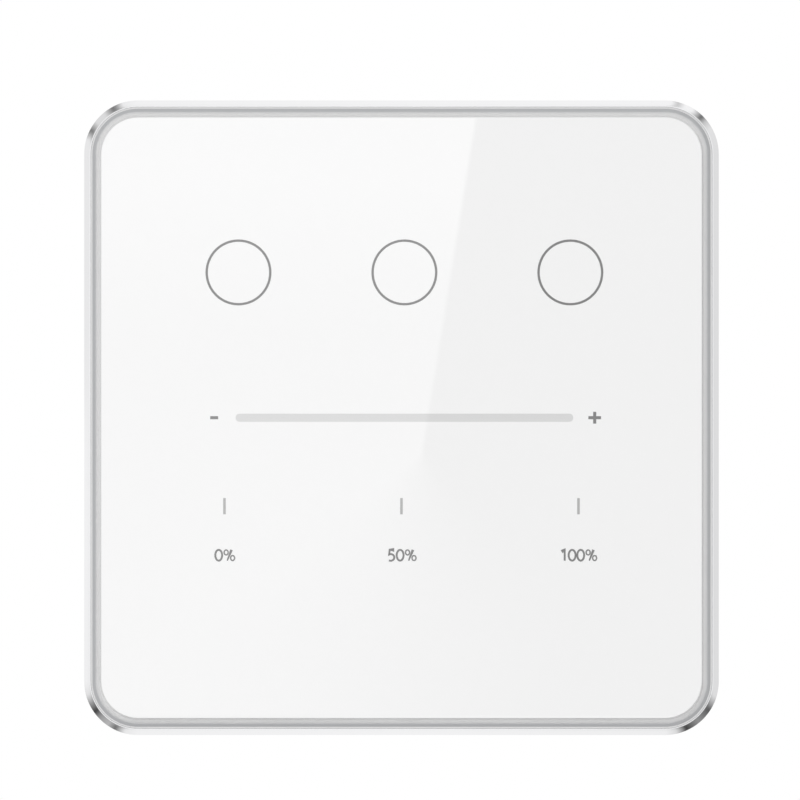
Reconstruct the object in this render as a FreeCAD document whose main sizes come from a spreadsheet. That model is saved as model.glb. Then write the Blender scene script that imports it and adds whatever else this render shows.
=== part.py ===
"""Smart dimmer switch: a square glass touch panel that plugs into a base unit in a wall box.

Millimetres. X runs to the right, Z up and Y into the wall. The origin is the centre of the wall plane, y = 0:
what stands out into the room has negative y, and what sits in the wall box has positive y.
"""
import FreeCAD, Part
import math
import os
import re
import Sketcher

os.makedirs("parts", exist_ok=True)
doc = FreeCAD.newDocument("smart_dimmer_switch")
V = FreeCAD.Vector

SIZES = {
    # The plate as it is seen from the room.
    "corner_radius": 7.3,
    "bezel_wall": 0.95,
    "bezel_step": 0.4,
    "bezel_round": 0.82,
    "bezel_lip": 0.6,
    "glass_thickness": 3.0,
    "glass_gap": 0.2,
    "glass_bevel": 1.2,
    "glass_bevel_depth": 0.45,
    "glass_arris": 0.2,
    # The print behind the glass.
    "print_margin": 1.15,
    "print_thickness": 0.15,
    "mark_thickness": 0.05,
    "mark_shift": 0.4,
    "ring_diameter": 8.95,
    "ring_line": 0.32,
    "ring_pitch": 22.5,
    "ring_height": 19.7,
    "slider_length": 45.8,
    "slider_width": 1.1,
    "sign_gap": 2.9,
    "minus_width": 1.08,
    "plus_width": 1.72,
    "plus_height": 1.6,
    "sign_stroke": 0.42,
    "tick_overhang": 1.1,
    "tick_drop": 12.0,
    "tick_width": 0.35,
    "tick_height": 2.2,
    # The carrier and what it holds behind the glass.
    "tape_thickness": 0.3,
    "carrier_plate": 1.4,
    "carrier_step": 2.0,
    "skirt_inset": 1.5,
    "skirt_wall": 1.4,
    "skirt_standoff": 0.8,
    "ledge_width": 2.0,
    "ledge_radius": 2.0,
    "pry_width": 8.0,
    "pry_height": 1.4,
    "light_room": 1.3,
    "guide_wall": 1.1,
    "guide_rim": 0.6,
    "guide_rim_thickness": 0.5,
    "pad_gap": 0.4,
    "film_margin": 2.1,
    "film_width": 9.0,
    "film_thickness": 0.2,
    "film_tail_width": 8.0,
    "film_tail_slack": 0.3,
    "led_length": 1.6,
    "led_width": 0.8,
    "led_thickness": 0.6,
    "led_end_gap": 0.5,
    "led_count": 7,
    "touch_board_thickness": 1.2,
    "touch_board_gap": 0.4,
    "chip_width": 7.0,
    "chip_thickness": 1.0,
    "chip_x": 10.0,
    "chip_z": 9.0,
    "radio_width": 16.0,
    "radio_height": 20.0,
    "radio_x": -9.5,
    "radio_z": 6.0,
    "radio_board_thickness": 0.8,
    "shield_width": 14.0,
    "shield_height": 13.0,
    "shield_thickness": 1.8,
    "shield_corner": 1.0,
    "shield_round": 0.3,
    "radio_margin": 0.8,
    # The pegs that hold the front unit on the base unit.
    "peg_inset": 8.5,
    "peg_diameter": 4.0,
    "peg_slot": 0.8,
    "peg_clearance": 0.05,
    "peg_collar": 0.5,
    "peg_collar_wall": 1.25,
    "board_peg_clearance": 0.5,
    # The plug between the two units.
    "pin_pitch": 2.54,
    "pin_columns": 5,
    "pin_width": 0.64,
    "pin_clearance": 0.1,
    "pin_end_gap": 0.8,
    "pin_tail": 0.6,
    "header_height": 2.5,
    "header_z": -9.5,
    "socket_wall": 1.2,
    "socket_inset": 0.6,
    "socket_gap": 0.3,
    # The cover on the back of the touch board, and its screws.
    "cover_clearance": 0.5,
    "cover_wall": 1.0,
    "cover_corner": 3.0,
    "cover_round": 0.5,
    "cover_gap": 0.8,
    "post_diameter": 5.5,
    "carrier_post_diameter": 4.5,
    "post_inset": 3.0,
    "post_x": 11.5,
    "panel_screw_diameter": 2.2,
    "panel_screw_head": 4.0,
    "panel_screw_head_height": 1.5,
    "screw_head_room": 0.1,
    "screw_tip_wall": 0.4,
    # The base frame, the yoke and the box screws.
    "yoke_thickness": 1.2,
    "yoke_reach": 7.85,
    "yoke_inset": 1.7,
    "yoke_corner": 4.0,
    "stake_diameter": 3.0,
    "stake_inset": 4.5,
    "stake_z": 20.0,
    "box_screw_spacing": 60.3,
    "box_slot_width": 4.2,
    "box_slot_length": 5.6,
    "head_window_width": 11.0,
    "head_window_height": 10.0,
    "head_window_corner": 2.0,
    "flange_thickness": 1.6,
    "flange_clearance": 0.4,
    "well_depth": 2.0,
    "well_floor": 1.2,
    "well_wall": 1.2,
    "well_corner": 2.0,
    "well_gap": 0.2,
    "rib_inset": 0.6,
    "rib_width": 1.0,
    "rib_radius": 2.5,
    "base_screw_diameter": 2.6,
    "base_screw_head": 4.6,
    "base_screw_head_height": 1.6,
    "base_screw_length": 11.0,
    "base_screw_boss": 6.4,
    # The rear housing and the power board.
    "housing_clear": 4.15,
    "housing_wall": 1.6,
    "housing_corner": 3.0,
    "housing_round": 1.2,
    "yoke_window_gap": 0.3,
    "column_diameter": 6.0,
    "column_inset": 3.9,
    "column_notch_gap": 0.6,
    "relief_start": 1.5,
    "relief_length": 22.0,
    "relief_height": 14.0,
    "relief_corner": 2.0,
    "relief_depth": 0.6,
    "vent_width": 1.6,
    "vent_length": 14.0,
    "vent_pitch": 4.4,
    "vent_count": 7,
    "vent_z": 8.0,
    "notch_gap": 0.6,
    "board_room": 4.8,
    "power_board_thickness": 1.6,
    "power_board_gap": 0.3,
    # The terminal block with its rising-cage clamps.
    "terminal_count": 5,
    "terminal_pitch": 8.2,
    "cell_gap": 0.3,
    "cage_width": 6.2,
    "cage_wall": 0.9,
    "cage_floor": 1.0,
    "cage_head": 1.6,
    "cage_depth": 6.0,
    "cage_corner": 0.6,
    "cage_rest_gap": 1.3,
    "cage_travel": 4.0,
    "wire_space": 4.5,
    "port_width": 4.8,
    "port_rim": 0.1,
    "port_wall": 1.3,
    "port_bevel": 0.5,
    "barrier_width": 0.9,
    "barrier_height": 0.6,
    "block_gap": 0.2,
    "block_inner_wall": 1.2,
    "block_end_wall": 0.7,
    "block_recess": 0.8,
    "ledge_thickness": 1.0,
    "contact_width": 3.8,
    "contact_thickness": 1.0,
    "contact_leg": 1.0,
    "contact_pin": 1.1,
    "terminal_screw_diameter": 3.0,
    "terminal_screw_fit": 0.05,
    "terminal_screw_seat": 0.05,
    "terminal_screw_tip_gap": 0.1,
    "terminal_head_diameter": 4.4,
    "terminal_head_height": 1.4,
    "terminal_head_gap": 0.35,
    "terminal_lip": 0.8,
    "terminal_lip_grip": 0.2,
    "recess_width": 0.7,
    "recess_length": 3.0,
    "recess_depth": 0.7,
    # What stands on the power board.
    "heat_sink_width": 34.0,
    "heat_sink_thickness": 1.5,
    "heat_sink_z": 22.2,
    "heat_sink_end_gap": 0.6,
    "transistor_spread": 8.5,
    "transistor_width": 10.0,
    "transistor_body": 9.2,
    "transistor_thickness": 4.4,
    "transistor_tab": 1.3,
    "transistor_tab_height": 5.0,
    "transistor_lift": 1.8,
    "transistor_lead": 0.8,
    "transistor_lead_pitch": 2.54,
    "transistor_screw_diameter": 2.9,
    "transistor_screw_head": 5.0,
    "transistor_screw_head_height": 1.4,
    "core_width": 16.0,
    "core_height": 13.0,
    "core_depth": 5.0,
    "core_limb": 3.4,
    "core_x": -12.5,
    "core_z": 7.0,
    "winding_depth": 12.0,
    "winding_corner": 1.5,
    "capacitor_diameter": 10.0,
    "capacitor_height": 15.0,
    "capacitor_x": 9.5,
    "capacitor_z": 10.0,
    "capacitor_round": 0.8,
    "choke_diameter": 13.0,
    "choke_bore": 5.0,
    "choke_x": 9.0,
    "choke_z": -5.0,
    "fuse_diameter": 3.8,
    "fuse_length": 10.0,
    "fuse_x": -9.0,
    "fuse_z": -9.0,
    "varistor_diameter": 9.0,
    "varistor_thickness": 3.2,
    "varistor_x": 20.0,
    "varistor_z": 4.0,
}

sheet = doc.addObject("Spreadsheet::Sheet", "sizes")
for row, (size_name, size) in enumerate(SIZES.items(), start=1):
    sheet.set(f"A{row}", size_name)
    sheet.set(f"B{row}", str(size))
    sheet.setAlias(f"B{row}", size_name)
doc.recompute()


def cell(formula):
    """Write a formula of size names as an expression that reads the sheet."""
    return re.sub(r"[a-z_]\w*", lambda found: f"sizes.{found[0]}", f"{formula}")


def value(formula):
    """What a formula of size names comes to now."""
    return float(sheet.evalExpression(cell(formula)))


def bind(thing, prop, formula):
    """Tie a property of an object to the sheet."""
    thing.setExpression(prop, cell(formula))


# Places along the depth, worked out from the wall plane towards the room.
yoke_front = "(-yoke_thickness)"
flange_front = f"({yoke_front} - flange_thickness)"
collar_front = f"({flange_front} - peg_collar)"
board_back = f"({collar_front} - touch_board_gap)"
board_front = f"({board_back} - touch_board_thickness)"
carrier_back = f"({board_front} - light_room)"
tape_back = f"({carrier_back} - carrier_plate)"
print_back = f"({tape_back} - tape_thickness)"
glass_back = f"({print_back} - print_thickness)"
glass_front = f"({glass_back} - glass_thickness)"
bezel_front = f"({glass_front} + bezel_step)"
step_back = f"({tape_back} + carrier_step)"
bezel_back = f"({step_back} + bezel_lip)"
skirt_back = "(-skirt_standoff)"
guide_back = f"({carrier_back} + guide_rim_thickness)"
peg_tip = f"({yoke_front} - cell_gap)"
panel_screw_tip = f"({tape_back} + screw_tip_wall)"

# Places behind the wall plane: the well, the power board and the terminal block.
well_back = "(well_depth + well_floor)"
cover_back = "(well_depth - cover_gap)"
cover_floor = f"({cover_back} - cover_wall)"
boss_back = f"({well_back} + base_screw_head_height)"
power_front = f"({well_back} + board_room)"
power_back = f"({power_front} + power_board_thickness)"
cage_low = f"({power_back} + cage_rest_gap)"
wire_low = f"({cage_low} + cage_floor)"
contact_low = f"({wire_low} + wire_space)"
contact_high = f"({contact_low} + contact_thickness)"
cage_head_low = f"({contact_high} + cell_gap)"
cage_high = f"({cage_head_low} + cage_head)"
ledge_low = f"({cage_high} + cage_travel + cell_gap)"
ledge_high = f"({ledge_low} + ledge_thickness)"
head_low = f"({ledge_high} + terminal_screw_seat)"
head_high = f"({head_low} + terminal_head_height)"
lip_low = f"({head_high} + terminal_head_gap)"
block_back = f"({lip_low} + terminal_lip)"
housing_back = f"({block_back} + block_recess)"
housing_floor = f"({housing_back} - housing_wall)"
socket_front = "(well_depth + socket_inset)"
pin_tip = f"({power_front} - pin_end_gap)"
tab_low = f"({power_back} + transistor_lift + transistor_body)"
tab_hole = f"({tab_low} + transistor_tab_height / 2)"

# Widths that follow from one another: the yoke and the housing from the box screws, then the plate outside
# them, which comes to 86 mm.
yoke_width = "(box_screw_spacing + 2 * yoke_reach)"
flange_width = f"({yoke_width} + 2 * yoke_inset)"
skirt_opening = f"({flange_width} + 2 * flange_clearance)"
skirt_width = f"({skirt_opening} + 2 * skirt_wall)"
plate_width = f"({skirt_width} + 2 * skirt_inset)"
housing_width = "(box_screw_spacing - 2 * housing_clear)"
bezel_opening = f"({plate_width} - 2 * bezel_wall)"
bezel_opening_radius = "(corner_radius - bezel_wall)"
skirt_radius = "(corner_radius - skirt_inset)"
skirt_opening_radius = f"({skirt_radius} - skirt_wall)"
glass_width = f"({bezel_opening} - 2 * glass_gap)"
glass_radius = f"({bezel_opening_radius} - glass_gap)"
print_width = f"({glass_width} - 2 * print_margin)"
print_radius = f"({glass_radius} - print_margin)"
touch_board_width = f"({skirt_opening} - 4 * flange_clearance)"
ledge_opening = f"({skirt_opening} - 2 * ledge_width)"
tick_pitch = "(slider_length / 2 + tick_overhang)"
sign_reach = "(slider_length / 2 + sign_gap)"
film_length = "(slider_length + 2 * film_margin)"
film_tail_z = "((film_thickness - film_width) / 2)"
led_pitch = "((slider_length - led_length - 2 * led_end_gap) / (led_count - 1))"
pad_diameter = "(ring_diameter - guide_wall - led_length - 2 * pad_gap)"
peg_place = f"({plate_width} / 2 - peg_inset)"
stake_x = f"({yoke_width} / 2 - stake_inset)"
housing_inside = f"({housing_width} - 2 * housing_wall)"
housing_inside_radius = "(housing_corner - housing_wall)"
well_outside = f"({housing_inside} - 2 * well_gap)"
well_inside = f"({well_outside} - 2 * well_wall)"
cover_width = f"({well_inside} - 2 * cover_clearance)"
post_z = f"({cover_width} / 2 - post_inset)"
column_place = f"({housing_inside} / 2 - column_inset)"
header_width = "(pin_columns * pin_pitch)"
header_depth = "(2 * pin_pitch)"
socket_width = f"({header_width} + 2 * socket_wall)"
socket_depth = f"({header_depth} + 2 * socket_wall)"

# Heights in the terminal block, from its lower face with the wire ports upwards.
block_low = f"(-{housing_inside} / 2 + block_gap)"
cell_low = f"({block_low} + port_wall)"
cage_near = f"({cell_low} + cell_gap)"
cage_far = f"({cage_near} + cage_depth)"
cell_high = f"({cage_far} + cell_gap)"
block_high = f"({cell_high} + block_inner_wall)"
leg_low = f"({block_high} + block_gap)"
leg_high = f"({leg_low} + contact_leg)"
screw_z = f"({cage_near} + cage_depth / 2)"
cell_width = "(cage_width + 2 * cell_gap)"
first_cell = "(-(terminal_count - 1) * terminal_pitch / 2)"
block_half = f"(-{first_cell} + {cell_width} / 2 + block_end_wall)"
lower_column = f"({leg_high} + column_diameter / 2 + column_notch_gap + notch_gap)"

# Where the fasteners and the marks stand.
POSTS = [(f"({side}post_x)", f"({rise}{post_z})") for side in "-+" for rise in "-+"]
PEGS = [(f"({side}{peg_place})", f"({rise}{peg_place})") for side in "-+" for rise in "-+"]
STAKES = [(f"({side}{stake_x})", f"({rise}stake_z)") for side in "-+" for rise in "-+"]
COLUMNS = [(f"({side}{column_place})", rise) for side in "-+" for rise in (column_place, lower_column)]
RINGS = [(place, "ring_height")
         for place in ("mark_shift - ring_pitch", "mark_shift", "mark_shift + ring_pitch")]
TICKS = [f"-{tick_pitch}", "0", tick_pitch]
PIN_ROWS = ["(header_z - pin_pitch / 2)", "(header_z + pin_pitch / 2)"]
first_pin = "(-(pin_columns - 1) * pin_pitch / 2)"

sub_parts = {}


def keep(thing, node):
    """Give a finished sub-part the label that names its file."""
    thing.Label = node
    sub_parts[node] = thing
    return thing


# Sketches and the features made from them.

def fix(sketch, kind, where, formula):
    """Add a dimension to a sketch and tie it to the sheet."""
    index = sketch.addConstraint(Sketcher.Constraint(kind, *where, value(formula)))
    bind(sketch, f"Constraints[{index}]", formula)


def tie(sketch, kind, *where):
    sketch.addConstraint(Sketcher.Constraint(kind, *where))


def draw_polygon(sketch, corners):
    """A closed outline of straight lines, with every corner placed from the origin."""
    first = sketch.GeometryCount
    points = [V(value(u), value(w), 0) for u, w in corners]
    for start, end in zip(points, points[1:] + points[:1]):
        sketch.addGeometry(Part.LineSegment(start, end))
    count = len(corners)
    for side in range(count):
        tie(sketch, "Coincident", first + side, 2, first + (side + 1) % count, 1)
    for side, (u, w) in enumerate(corners):
        fix(sketch, "DistanceX", (-1, 1, first + side, 1), u)
        fix(sketch, "DistanceY", (-1, 1, first + side, 1), w)


def draw_rectangle(sketch, width, height, u="0", w="0"):
    """A rectangle by its size and its centre."""
    left, right = f"{u} - {width} / 2", f"{u} + {width} / 2"
    low, high = f"{w} - {height} / 2", f"{w} + {height} / 2"
    draw_polygon(sketch, [(left, low), (right, low), (right, high), (left, high)])


def draw_rounded(sketch, width, height, radius, u="0", w="0"):
    """A rectangle with round corners, by its size, its corner radius and its centre."""
    first = sketch.GeometryCount
    x, y = value(u), value(w)
    a, b, r = value(width) / 2, value(height) / 2, value(radius)
    quarter = math.pi / 2
    ends = [((r - a, -b), (a - r, -b)), ((a, r - b), (a, b - r)),
            ((a - r, b), (r - a, b)), ((-a, b - r), (-a, r - b))]
    for start, end in ends:
        corners = [V(x + across, y + up, 0) for across, up in (start, end)]
        sketch.addGeometry(Part.LineSegment(*corners))
    for turn, (side, rise) in enumerate([(1, -1), (1, 1), (-1, 1), (-1, -1)], start=-1):
        centre = V(x + side * (a - r), y + rise * (b - r), 0)
        circle = Part.Circle(centre, V(0, 0, 1), r)
        sketch.addGeometry(Part.ArcOfCircle(circle, turn * quarter, (turn + 1) * quarter))
    for corner in range(4):
        arc = first + 4 + corner
        tie(sketch, "Tangent", first + corner, 2, arc, 1)
        tie(sketch, "Tangent", arc, 2, first + (corner + 1) % 4, 1)
    for corner in range(1, 4):
        tie(sketch, "Equal", first + 4, first + 4 + corner)
    tie(sketch, "Horizontal", first)
    tie(sketch, "Vertical", first + 1)
    tie(sketch, "Horizontal", first + 2)
    tie(sketch, "Vertical", first + 3)
    fix(sketch, "Radius", (first + 4,), radius)
    fix(sketch, "DistanceY", (-1, 1, first, 1), f"{w} - {height} / 2")
    fix(sketch, "DistanceX", (-1, 1, first + 1, 1), f"{u} + {width} / 2")
    fix(sketch, "DistanceY", (-1, 1, first + 2, 1), f"{w} + {height} / 2")
    fix(sketch, "DistanceX", (-1, 1, first + 3, 1), f"{u} - {width} / 2")


def draw_slot(sketch, length, width, u="0", w="0"):
    """A level slot with half-round ends, by its overall length, its width and its centre."""
    first = sketch.GeometryCount
    x, y, r = value(u), value(w), value(width) / 2
    reach = value(length) / 2 - r
    quarter = math.pi / 2
    right, left = (Part.Circle(V(x + end, y, 0), V(0, 0, 1), r) for end in (reach, -reach))
    sketch.addGeometry(Part.LineSegment(V(x - reach, y - r, 0), V(x + reach, y - r, 0)))
    sketch.addGeometry(Part.ArcOfCircle(right, -quarter, quarter))
    sketch.addGeometry(Part.LineSegment(V(x + reach, y + r, 0), V(x - reach, y + r, 0)))
    sketch.addGeometry(Part.ArcOfCircle(left, quarter, 3 * quarter))
    for side in range(4):
        tie(sketch, "Tangent", first + side, 2, first + (side + 1) % 4, 1)
    tie(sketch, "Horizontal", first)
    fix(sketch, "Radius", (first + 1,), f"{width} / 2")
    fix(sketch, "DistanceX", (-1, 1, first + 1, 3), f"{u} + {length} / 2 - {width} / 2")
    fix(sketch, "DistanceX", (-1, 1, first + 3, 3), f"{u} - {length} / 2 + {width} / 2")
    fix(sketch, "DistanceY", (-1, 1, first + 1, 3), w)


def draw_circle(sketch, diameter, u="0", w="0"):
    """A circle by its diameter and its centre."""
    index = sketch.addGeometry(Part.Circle(V(value(u), value(w), 0), V(0, 0, 1), value(diameter) / 2))
    fix(sketch, "Radius", (index,), f"{diameter} / 2")
    fix(sketch, "DistanceX", (-1, 1, index, 3), u)
    fix(sketch, "DistanceY", (-1, 1, index, 3), w)


def new_body(node):
    return keep(doc.addObject("PartDesign::Body", node), node)


def origin_of(body, role):
    return next(item for item in body.Origin.OriginFeatures if item.Role == role)


def sketch_on(body, role, offset):
    """A sketch on one of the body's origin planes, moved along that plane's own normal."""
    sketch = body.newObject("Sketcher::SketchObject", f"{body.Label}_outline")
    sketch.AttachmentSupport = [(origin_of(body, role), "")]
    sketch.MapMode = "FlatFace"
    bind(sketch, "AttachmentOffset.Base.z", offset)
    return sketch


def front_sketch(body, y):
    """A sketch that faces the room at the given depth, with X to the right and Z up."""
    return sketch_on(body, "XZ_Plane", f"-({y})")


def pad(body, sketch, length):
    """Raise a sketch along its normal, which for a front sketch is towards the room."""
    feature = body.newObject("PartDesign::Pad", f"{body.Label}_pad")
    feature.Profile = sketch
    bind(feature, "Length", length)
    doc.recompute()
    return feature


def pocket(body, sketch, length, reverse=False):
    """Sink a sketch against its normal, which for a front sketch is towards the wall."""
    before = body.Shape.Volume
    feature = body.newObject("PartDesign::Pocket", f"{body.Label}_pocket")
    feature.Profile = sketch
    feature.Reversed = reverse
    bind(feature, "Length", length)
    doc.recompute()
    if not body.Shape.Volume < before:
        raise ValueError(f"a pocket of {body.Label} cuts nothing")
    return feature


def along_x(body, features, step, count):
    """Repeat features along X, one step apart."""
    feature = body.newObject("PartDesign::LinearPattern", f"{body.Label}_row")
    feature.Originals = features
    feature.Direction = (origin_of(body, "X_Axis"), [""])
    bind(feature, "Length", f"{step} * ({count} - 1)")
    bind(feature, "Occurrences", count)
    body.Tip = feature
    doc.recompute()
    return feature


def edges_of(shape, wanted):
    """The names of the edges that meet a test."""
    return [f"Edge{number}" for number, edge in enumerate(shape.Edges, start=1) if wanted(edge)]


def on_plane_y(y):
    """A test for edges that lie in the plane at a depth."""
    depth = value(y)
    return lambda edge: abs(edge.BoundBox.YMin - depth) < 1e-6 and abs(edge.BoundBox.YMax - depth) < 1e-6


def rim_edges(y, width):
    """A test for edges at a depth that reach beyond a square of that width."""
    level, half = on_plane_y(y), value(width) / 2

    def wanted(edge):
        box = edge.BoundBox
        return level(edge) and max(-box.XMin, box.XMax, -box.ZMin, box.ZMax) > half

    return wanted


def round_edges(body, base, wanted, radius):
    feature = body.newObject("PartDesign::Fillet", f"{body.Label}_round")
    feature.Base = (base, edges_of(base.Shape, wanted))
    bind(feature, "Radius", radius)
    doc.recompute()
    return feature


def bevel_edges(body, base, wanted, size, depth=None):
    """Bevel edges, with two different legs where a depth is given."""
    feature = body.newObject("PartDesign::Chamfer", f"{body.Label}_bevel")
    feature.Base = (base, edges_of(base.Shape, wanted))
    bind(feature, "Size", size)
    if depth:
        feature.ChamferType = "Two distances"
        bind(feature, "Size2", depth)
    doc.recompute()
    return feature


def draw_circles(sketch, diameter, places):
    for u, w in places:
        draw_circle(sketch, diameter, u, w)


# Plain blocks and rods, and how they are joined and cut.

TURNS = {"x": FreeCAD.Rotation(V(0, 1, 0), 90),
         "y": FreeCAD.Rotation(V(1, 0, 0), -90),
         "z": FreeCAD.Rotation()}


def block(name, x, y, z):
    """A block between two planes on each axis."""
    thing = doc.addObject("Part::Box", name)
    for prop, axis, (low, high) in zip(("Length", "Width", "Height"), "xyz", (x, y, z)):
        bind(thing, prop, f"({high}) - ({low})")
        bind(thing, f"Placement.Base.{axis}", low)
    return thing


def rod(name, diameter, axis, start, length):
    """A rod along an axis from a start point."""
    thing = doc.addObject("Part::Cylinder", name)
    bind(thing, "Radius", f"({diameter}) / 2")
    bind(thing, "Height", length)
    thing.Placement.Rotation = TURNS[axis]
    for letter, place in zip("xyz", start):
        bind(thing, f"Placement.Base.{letter}", place)
    return thing


def centred(centre, width):
    """The two planes of something by its centre and its width."""
    return f"{centre} - {width} / 2", f"{centre} + {width} / 2"


def joined(name, things):
    thing = doc.addObject("Part::MultiFuse", name)
    thing.Shapes = things
    return thing


def grouped(name, things):
    thing = doc.addObject("Part::Compound", name)
    thing.Links = things
    return thing


def cut(name, base, tool):
    thing = doc.addObject("Part::Cut", name)
    thing.Base = base
    thing.Tool = tool
    return thing


# The front unit.

def glass_panel():
    """Tempered glass with a polished bevel all round its face."""
    body = new_body("glass_panel")
    sketch = front_sketch(body, glass_back)
    draw_rounded(sketch, glass_width, glass_width, glass_radius)
    plate = pad(body, sketch, "glass_thickness")
    face = bevel_edges(body, plate, on_plane_y(glass_front), "glass_bevel", "glass_bevel_depth")
    bevel_edges(body, face, on_plane_y(glass_back), "glass_arris")


def back_print():
    """The white print, with the grey marks let into the side that meets the glass."""
    body = new_body("back_print")
    sketch = front_sketch(body, print_back)
    draw_rounded(sketch, print_width, print_width, print_radius)
    pad(body, sketch, "print_thickness")
    for draw_mark in (draw_rings, draw_slider, draw_signs, draw_ticks):
        sketch = front_sketch(body, glass_back)
        draw_mark(sketch)
        pocket(body, sketch, "mark_thickness")


def draw_rings(sketch):
    draw_circles(sketch, "ring_diameter", RINGS)
    draw_circles(sketch, "(ring_diameter - 2 * ring_line)", RINGS)


def draw_slider(sketch):
    draw_slot(sketch, "slider_length", "slider_width", "mark_shift")


def draw_signs(sketch):
    """A minus at the left end of the slider and a plus at its right end."""
    draw_rectangle(sketch, "minus_width", "sign_stroke", f"(mark_shift - {sign_reach})")
    x = f"mark_shift + {sign_reach}"
    arm, up, half = "plus_width / 2", "plus_height / 2", "sign_stroke / 2"
    draw_polygon(sketch, [
        (f"{x} - {arm}", f"-{half}"), (f"{x} - {half}", f"-{half}"), (f"{x} - {half}", f"-{up}"),
        (f"{x} + {half}", f"-{up}"), (f"{x} + {half}", f"-{half}"), (f"{x} + {arm}", f"-{half}"),
        (f"{x} + {arm}", half), (f"{x} + {half}", half), (f"{x} + {half}", up),
        (f"{x} - {half}", up), (f"{x} - {half}", half), (f"{x} - {arm}", half)])


def draw_ticks(sketch):
    for shift in TICKS:
        draw_rectangle(sketch, "tick_width", "tick_height", shift, "(-tick_drop)")


def printed_marks():
    """The grey marks, each group one thin print on the back of the glass."""
    groups = {"ring_marks": draw_rings, "slider_mark": draw_slider,
              "sign_marks": draw_signs, "tick_marks": draw_ticks}
    for node, draw_mark in groups.items():
        body = new_body(node)
        sketch = front_sketch(body, f"{glass_back} + mark_thickness")
        draw_mark(sketch)
        pad(body, sketch, "mark_thickness")


def bezel_frame():
    """The bright frame round the glass, with a lip that hooks behind the carrier's step."""
    body = new_body("bezel_frame")
    sketch = front_sketch(body, bezel_back)
    draw_rounded(sketch, plate_width, plate_width, "corner_radius")
    draw_rounded(sketch, bezel_opening, bezel_opening, bezel_opening_radius)
    pad(body, sketch, f"{bezel_back} - {bezel_front}")
    sketch = front_sketch(body, bezel_back)
    middle = f"({plate_width} - bezel_wall)"
    draw_rounded(sketch, middle, middle, "(corner_radius - bezel_wall / 2)")
    draw_rounded(sketch, skirt_width, skirt_width, skirt_radius)
    lip = pad(body, sketch, "bezel_lip")
    round_edges(body, lip, rim_edges(bezel_front, middle), "bezel_round")


def adhesive_sheet():
    """Double-sided sheet between the print and the carrier, open at the keys and the slider."""
    body = new_body("adhesive_sheet")
    sketch = front_sketch(body, tape_back)
    draw_rounded(sketch, print_width, print_width, print_radius)
    pad(body, sketch, "tape_thickness")
    sketch = front_sketch(body, print_back)
    draw_circles(sketch, "ring_diameter", RINGS)
    draw_rectangle(sketch, film_length, "film_width", "mark_shift")
    pocket(body, sketch, "tape_thickness")


def panel_carrier():
    """White moulded tray: a plate behind the glass, a skirt round it, bosses and four split pegs."""
    body = new_body("panel_carrier")
    sketch = front_sketch(body, step_back)
    draw_rounded(sketch, bezel_opening, bezel_opening, bezel_opening_radius)
    draw_rounded(sketch, skirt_opening, skirt_opening, skirt_opening_radius)
    pad(body, sketch, "carrier_step")
    sketch = front_sketch(body, skirt_back)
    draw_rounded(sketch, skirt_width, skirt_width, skirt_radius)
    draw_rounded(sketch, skirt_opening, skirt_opening, skirt_opening_radius)
    pad(body, sketch, f"{skirt_back} - {tape_back}")
    sketch = front_sketch(body, carrier_back)
    draw_rounded(sketch, skirt_width, skirt_width, skirt_radius)
    pad(body, sketch, "carrier_plate")
    sketch = front_sketch(body, board_front)
    draw_rounded(sketch, skirt_opening, skirt_opening, skirt_opening_radius)
    draw_rounded(sketch, ledge_opening, ledge_opening, "ledge_radius")
    draw_circles(sketch, "carrier_post_diameter", POSTS)
    pad(body, sketch, "light_room")
    sketch = front_sketch(body, peg_tip)
    draw_circles(sketch, "peg_diameter", PEGS)
    pad(body, sketch, f"{peg_tip} - {carrier_back}")
    carrier_openings(body)


def carrier_openings(body):
    """The windows of the light guides, the film's slot, the screw holes and the slots in the pegs."""
    sketch = front_sketch(body, tape_back)
    draw_circles(sketch, "ring_diameter", RINGS)
    draw_slot(sketch, "slider_length", "slider_width", "mark_shift")
    draw_rectangle(sketch, "(film_tail_width + 2 * film_tail_slack)",
                   "(film_thickness + 2 * film_tail_slack)", "mark_shift", film_tail_z)
    pocket(body, sketch, "carrier_plate")
    sketch = front_sketch(body, panel_screw_tip)
    draw_circles(sketch, "panel_screw_diameter", POSTS)
    pocket(body, sketch, f"{board_front} - {panel_screw_tip}")
    sketch = front_sketch(body, carrier_back)
    for u, w in PEGS:
        draw_rectangle(sketch, "peg_slot", "(peg_diameter * 2)", u, w)
    pocket(body, sketch, f"{peg_tip} - {carrier_back}")
    sketch = front_sketch(body, f"{skirt_back} - pry_height")
    draw_rectangle(sketch, "pry_width", "(2 * skirt_wall)", "0", f"(-{skirt_width} / 2)")
    pocket(body, sketch, "pry_height")


def ring_light_guide(number, spot):
    """A clear ring that carries light to a printed ring, with a rim behind the carrier."""
    body = new_body(f"ring_light_guide_{number}")
    for diameter, length in (("ring_diameter", f"{guide_back} - {print_back}"),
                             ("(ring_diameter + 2 * guide_rim)", "guide_rim_thickness")):
        sketch = front_sketch(body, guide_back)
        draw_circle(sketch, diameter, *spot)
        draw_circle(sketch, "(ring_diameter - 2 * guide_wall)", *spot)
        pad(body, sketch, length)


def slider_light_guide():
    """A clear bar behind the printed slider, with a rim behind the carrier."""
    body = new_body("slider_light_guide")
    sketch = front_sketch(body, guide_back)
    draw_slot(sketch, "slider_length", "slider_width", "mark_shift")
    pad(body, sketch, f"{guide_back} - {print_back}")
    sketch = front_sketch(body, guide_back)
    draw_slot(sketch, "(slider_length + 2 * guide_rim)", "(slider_width + 2 * guide_rim)", "mark_shift")
    pad(body, sketch, "guide_rim_thickness")


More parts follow.
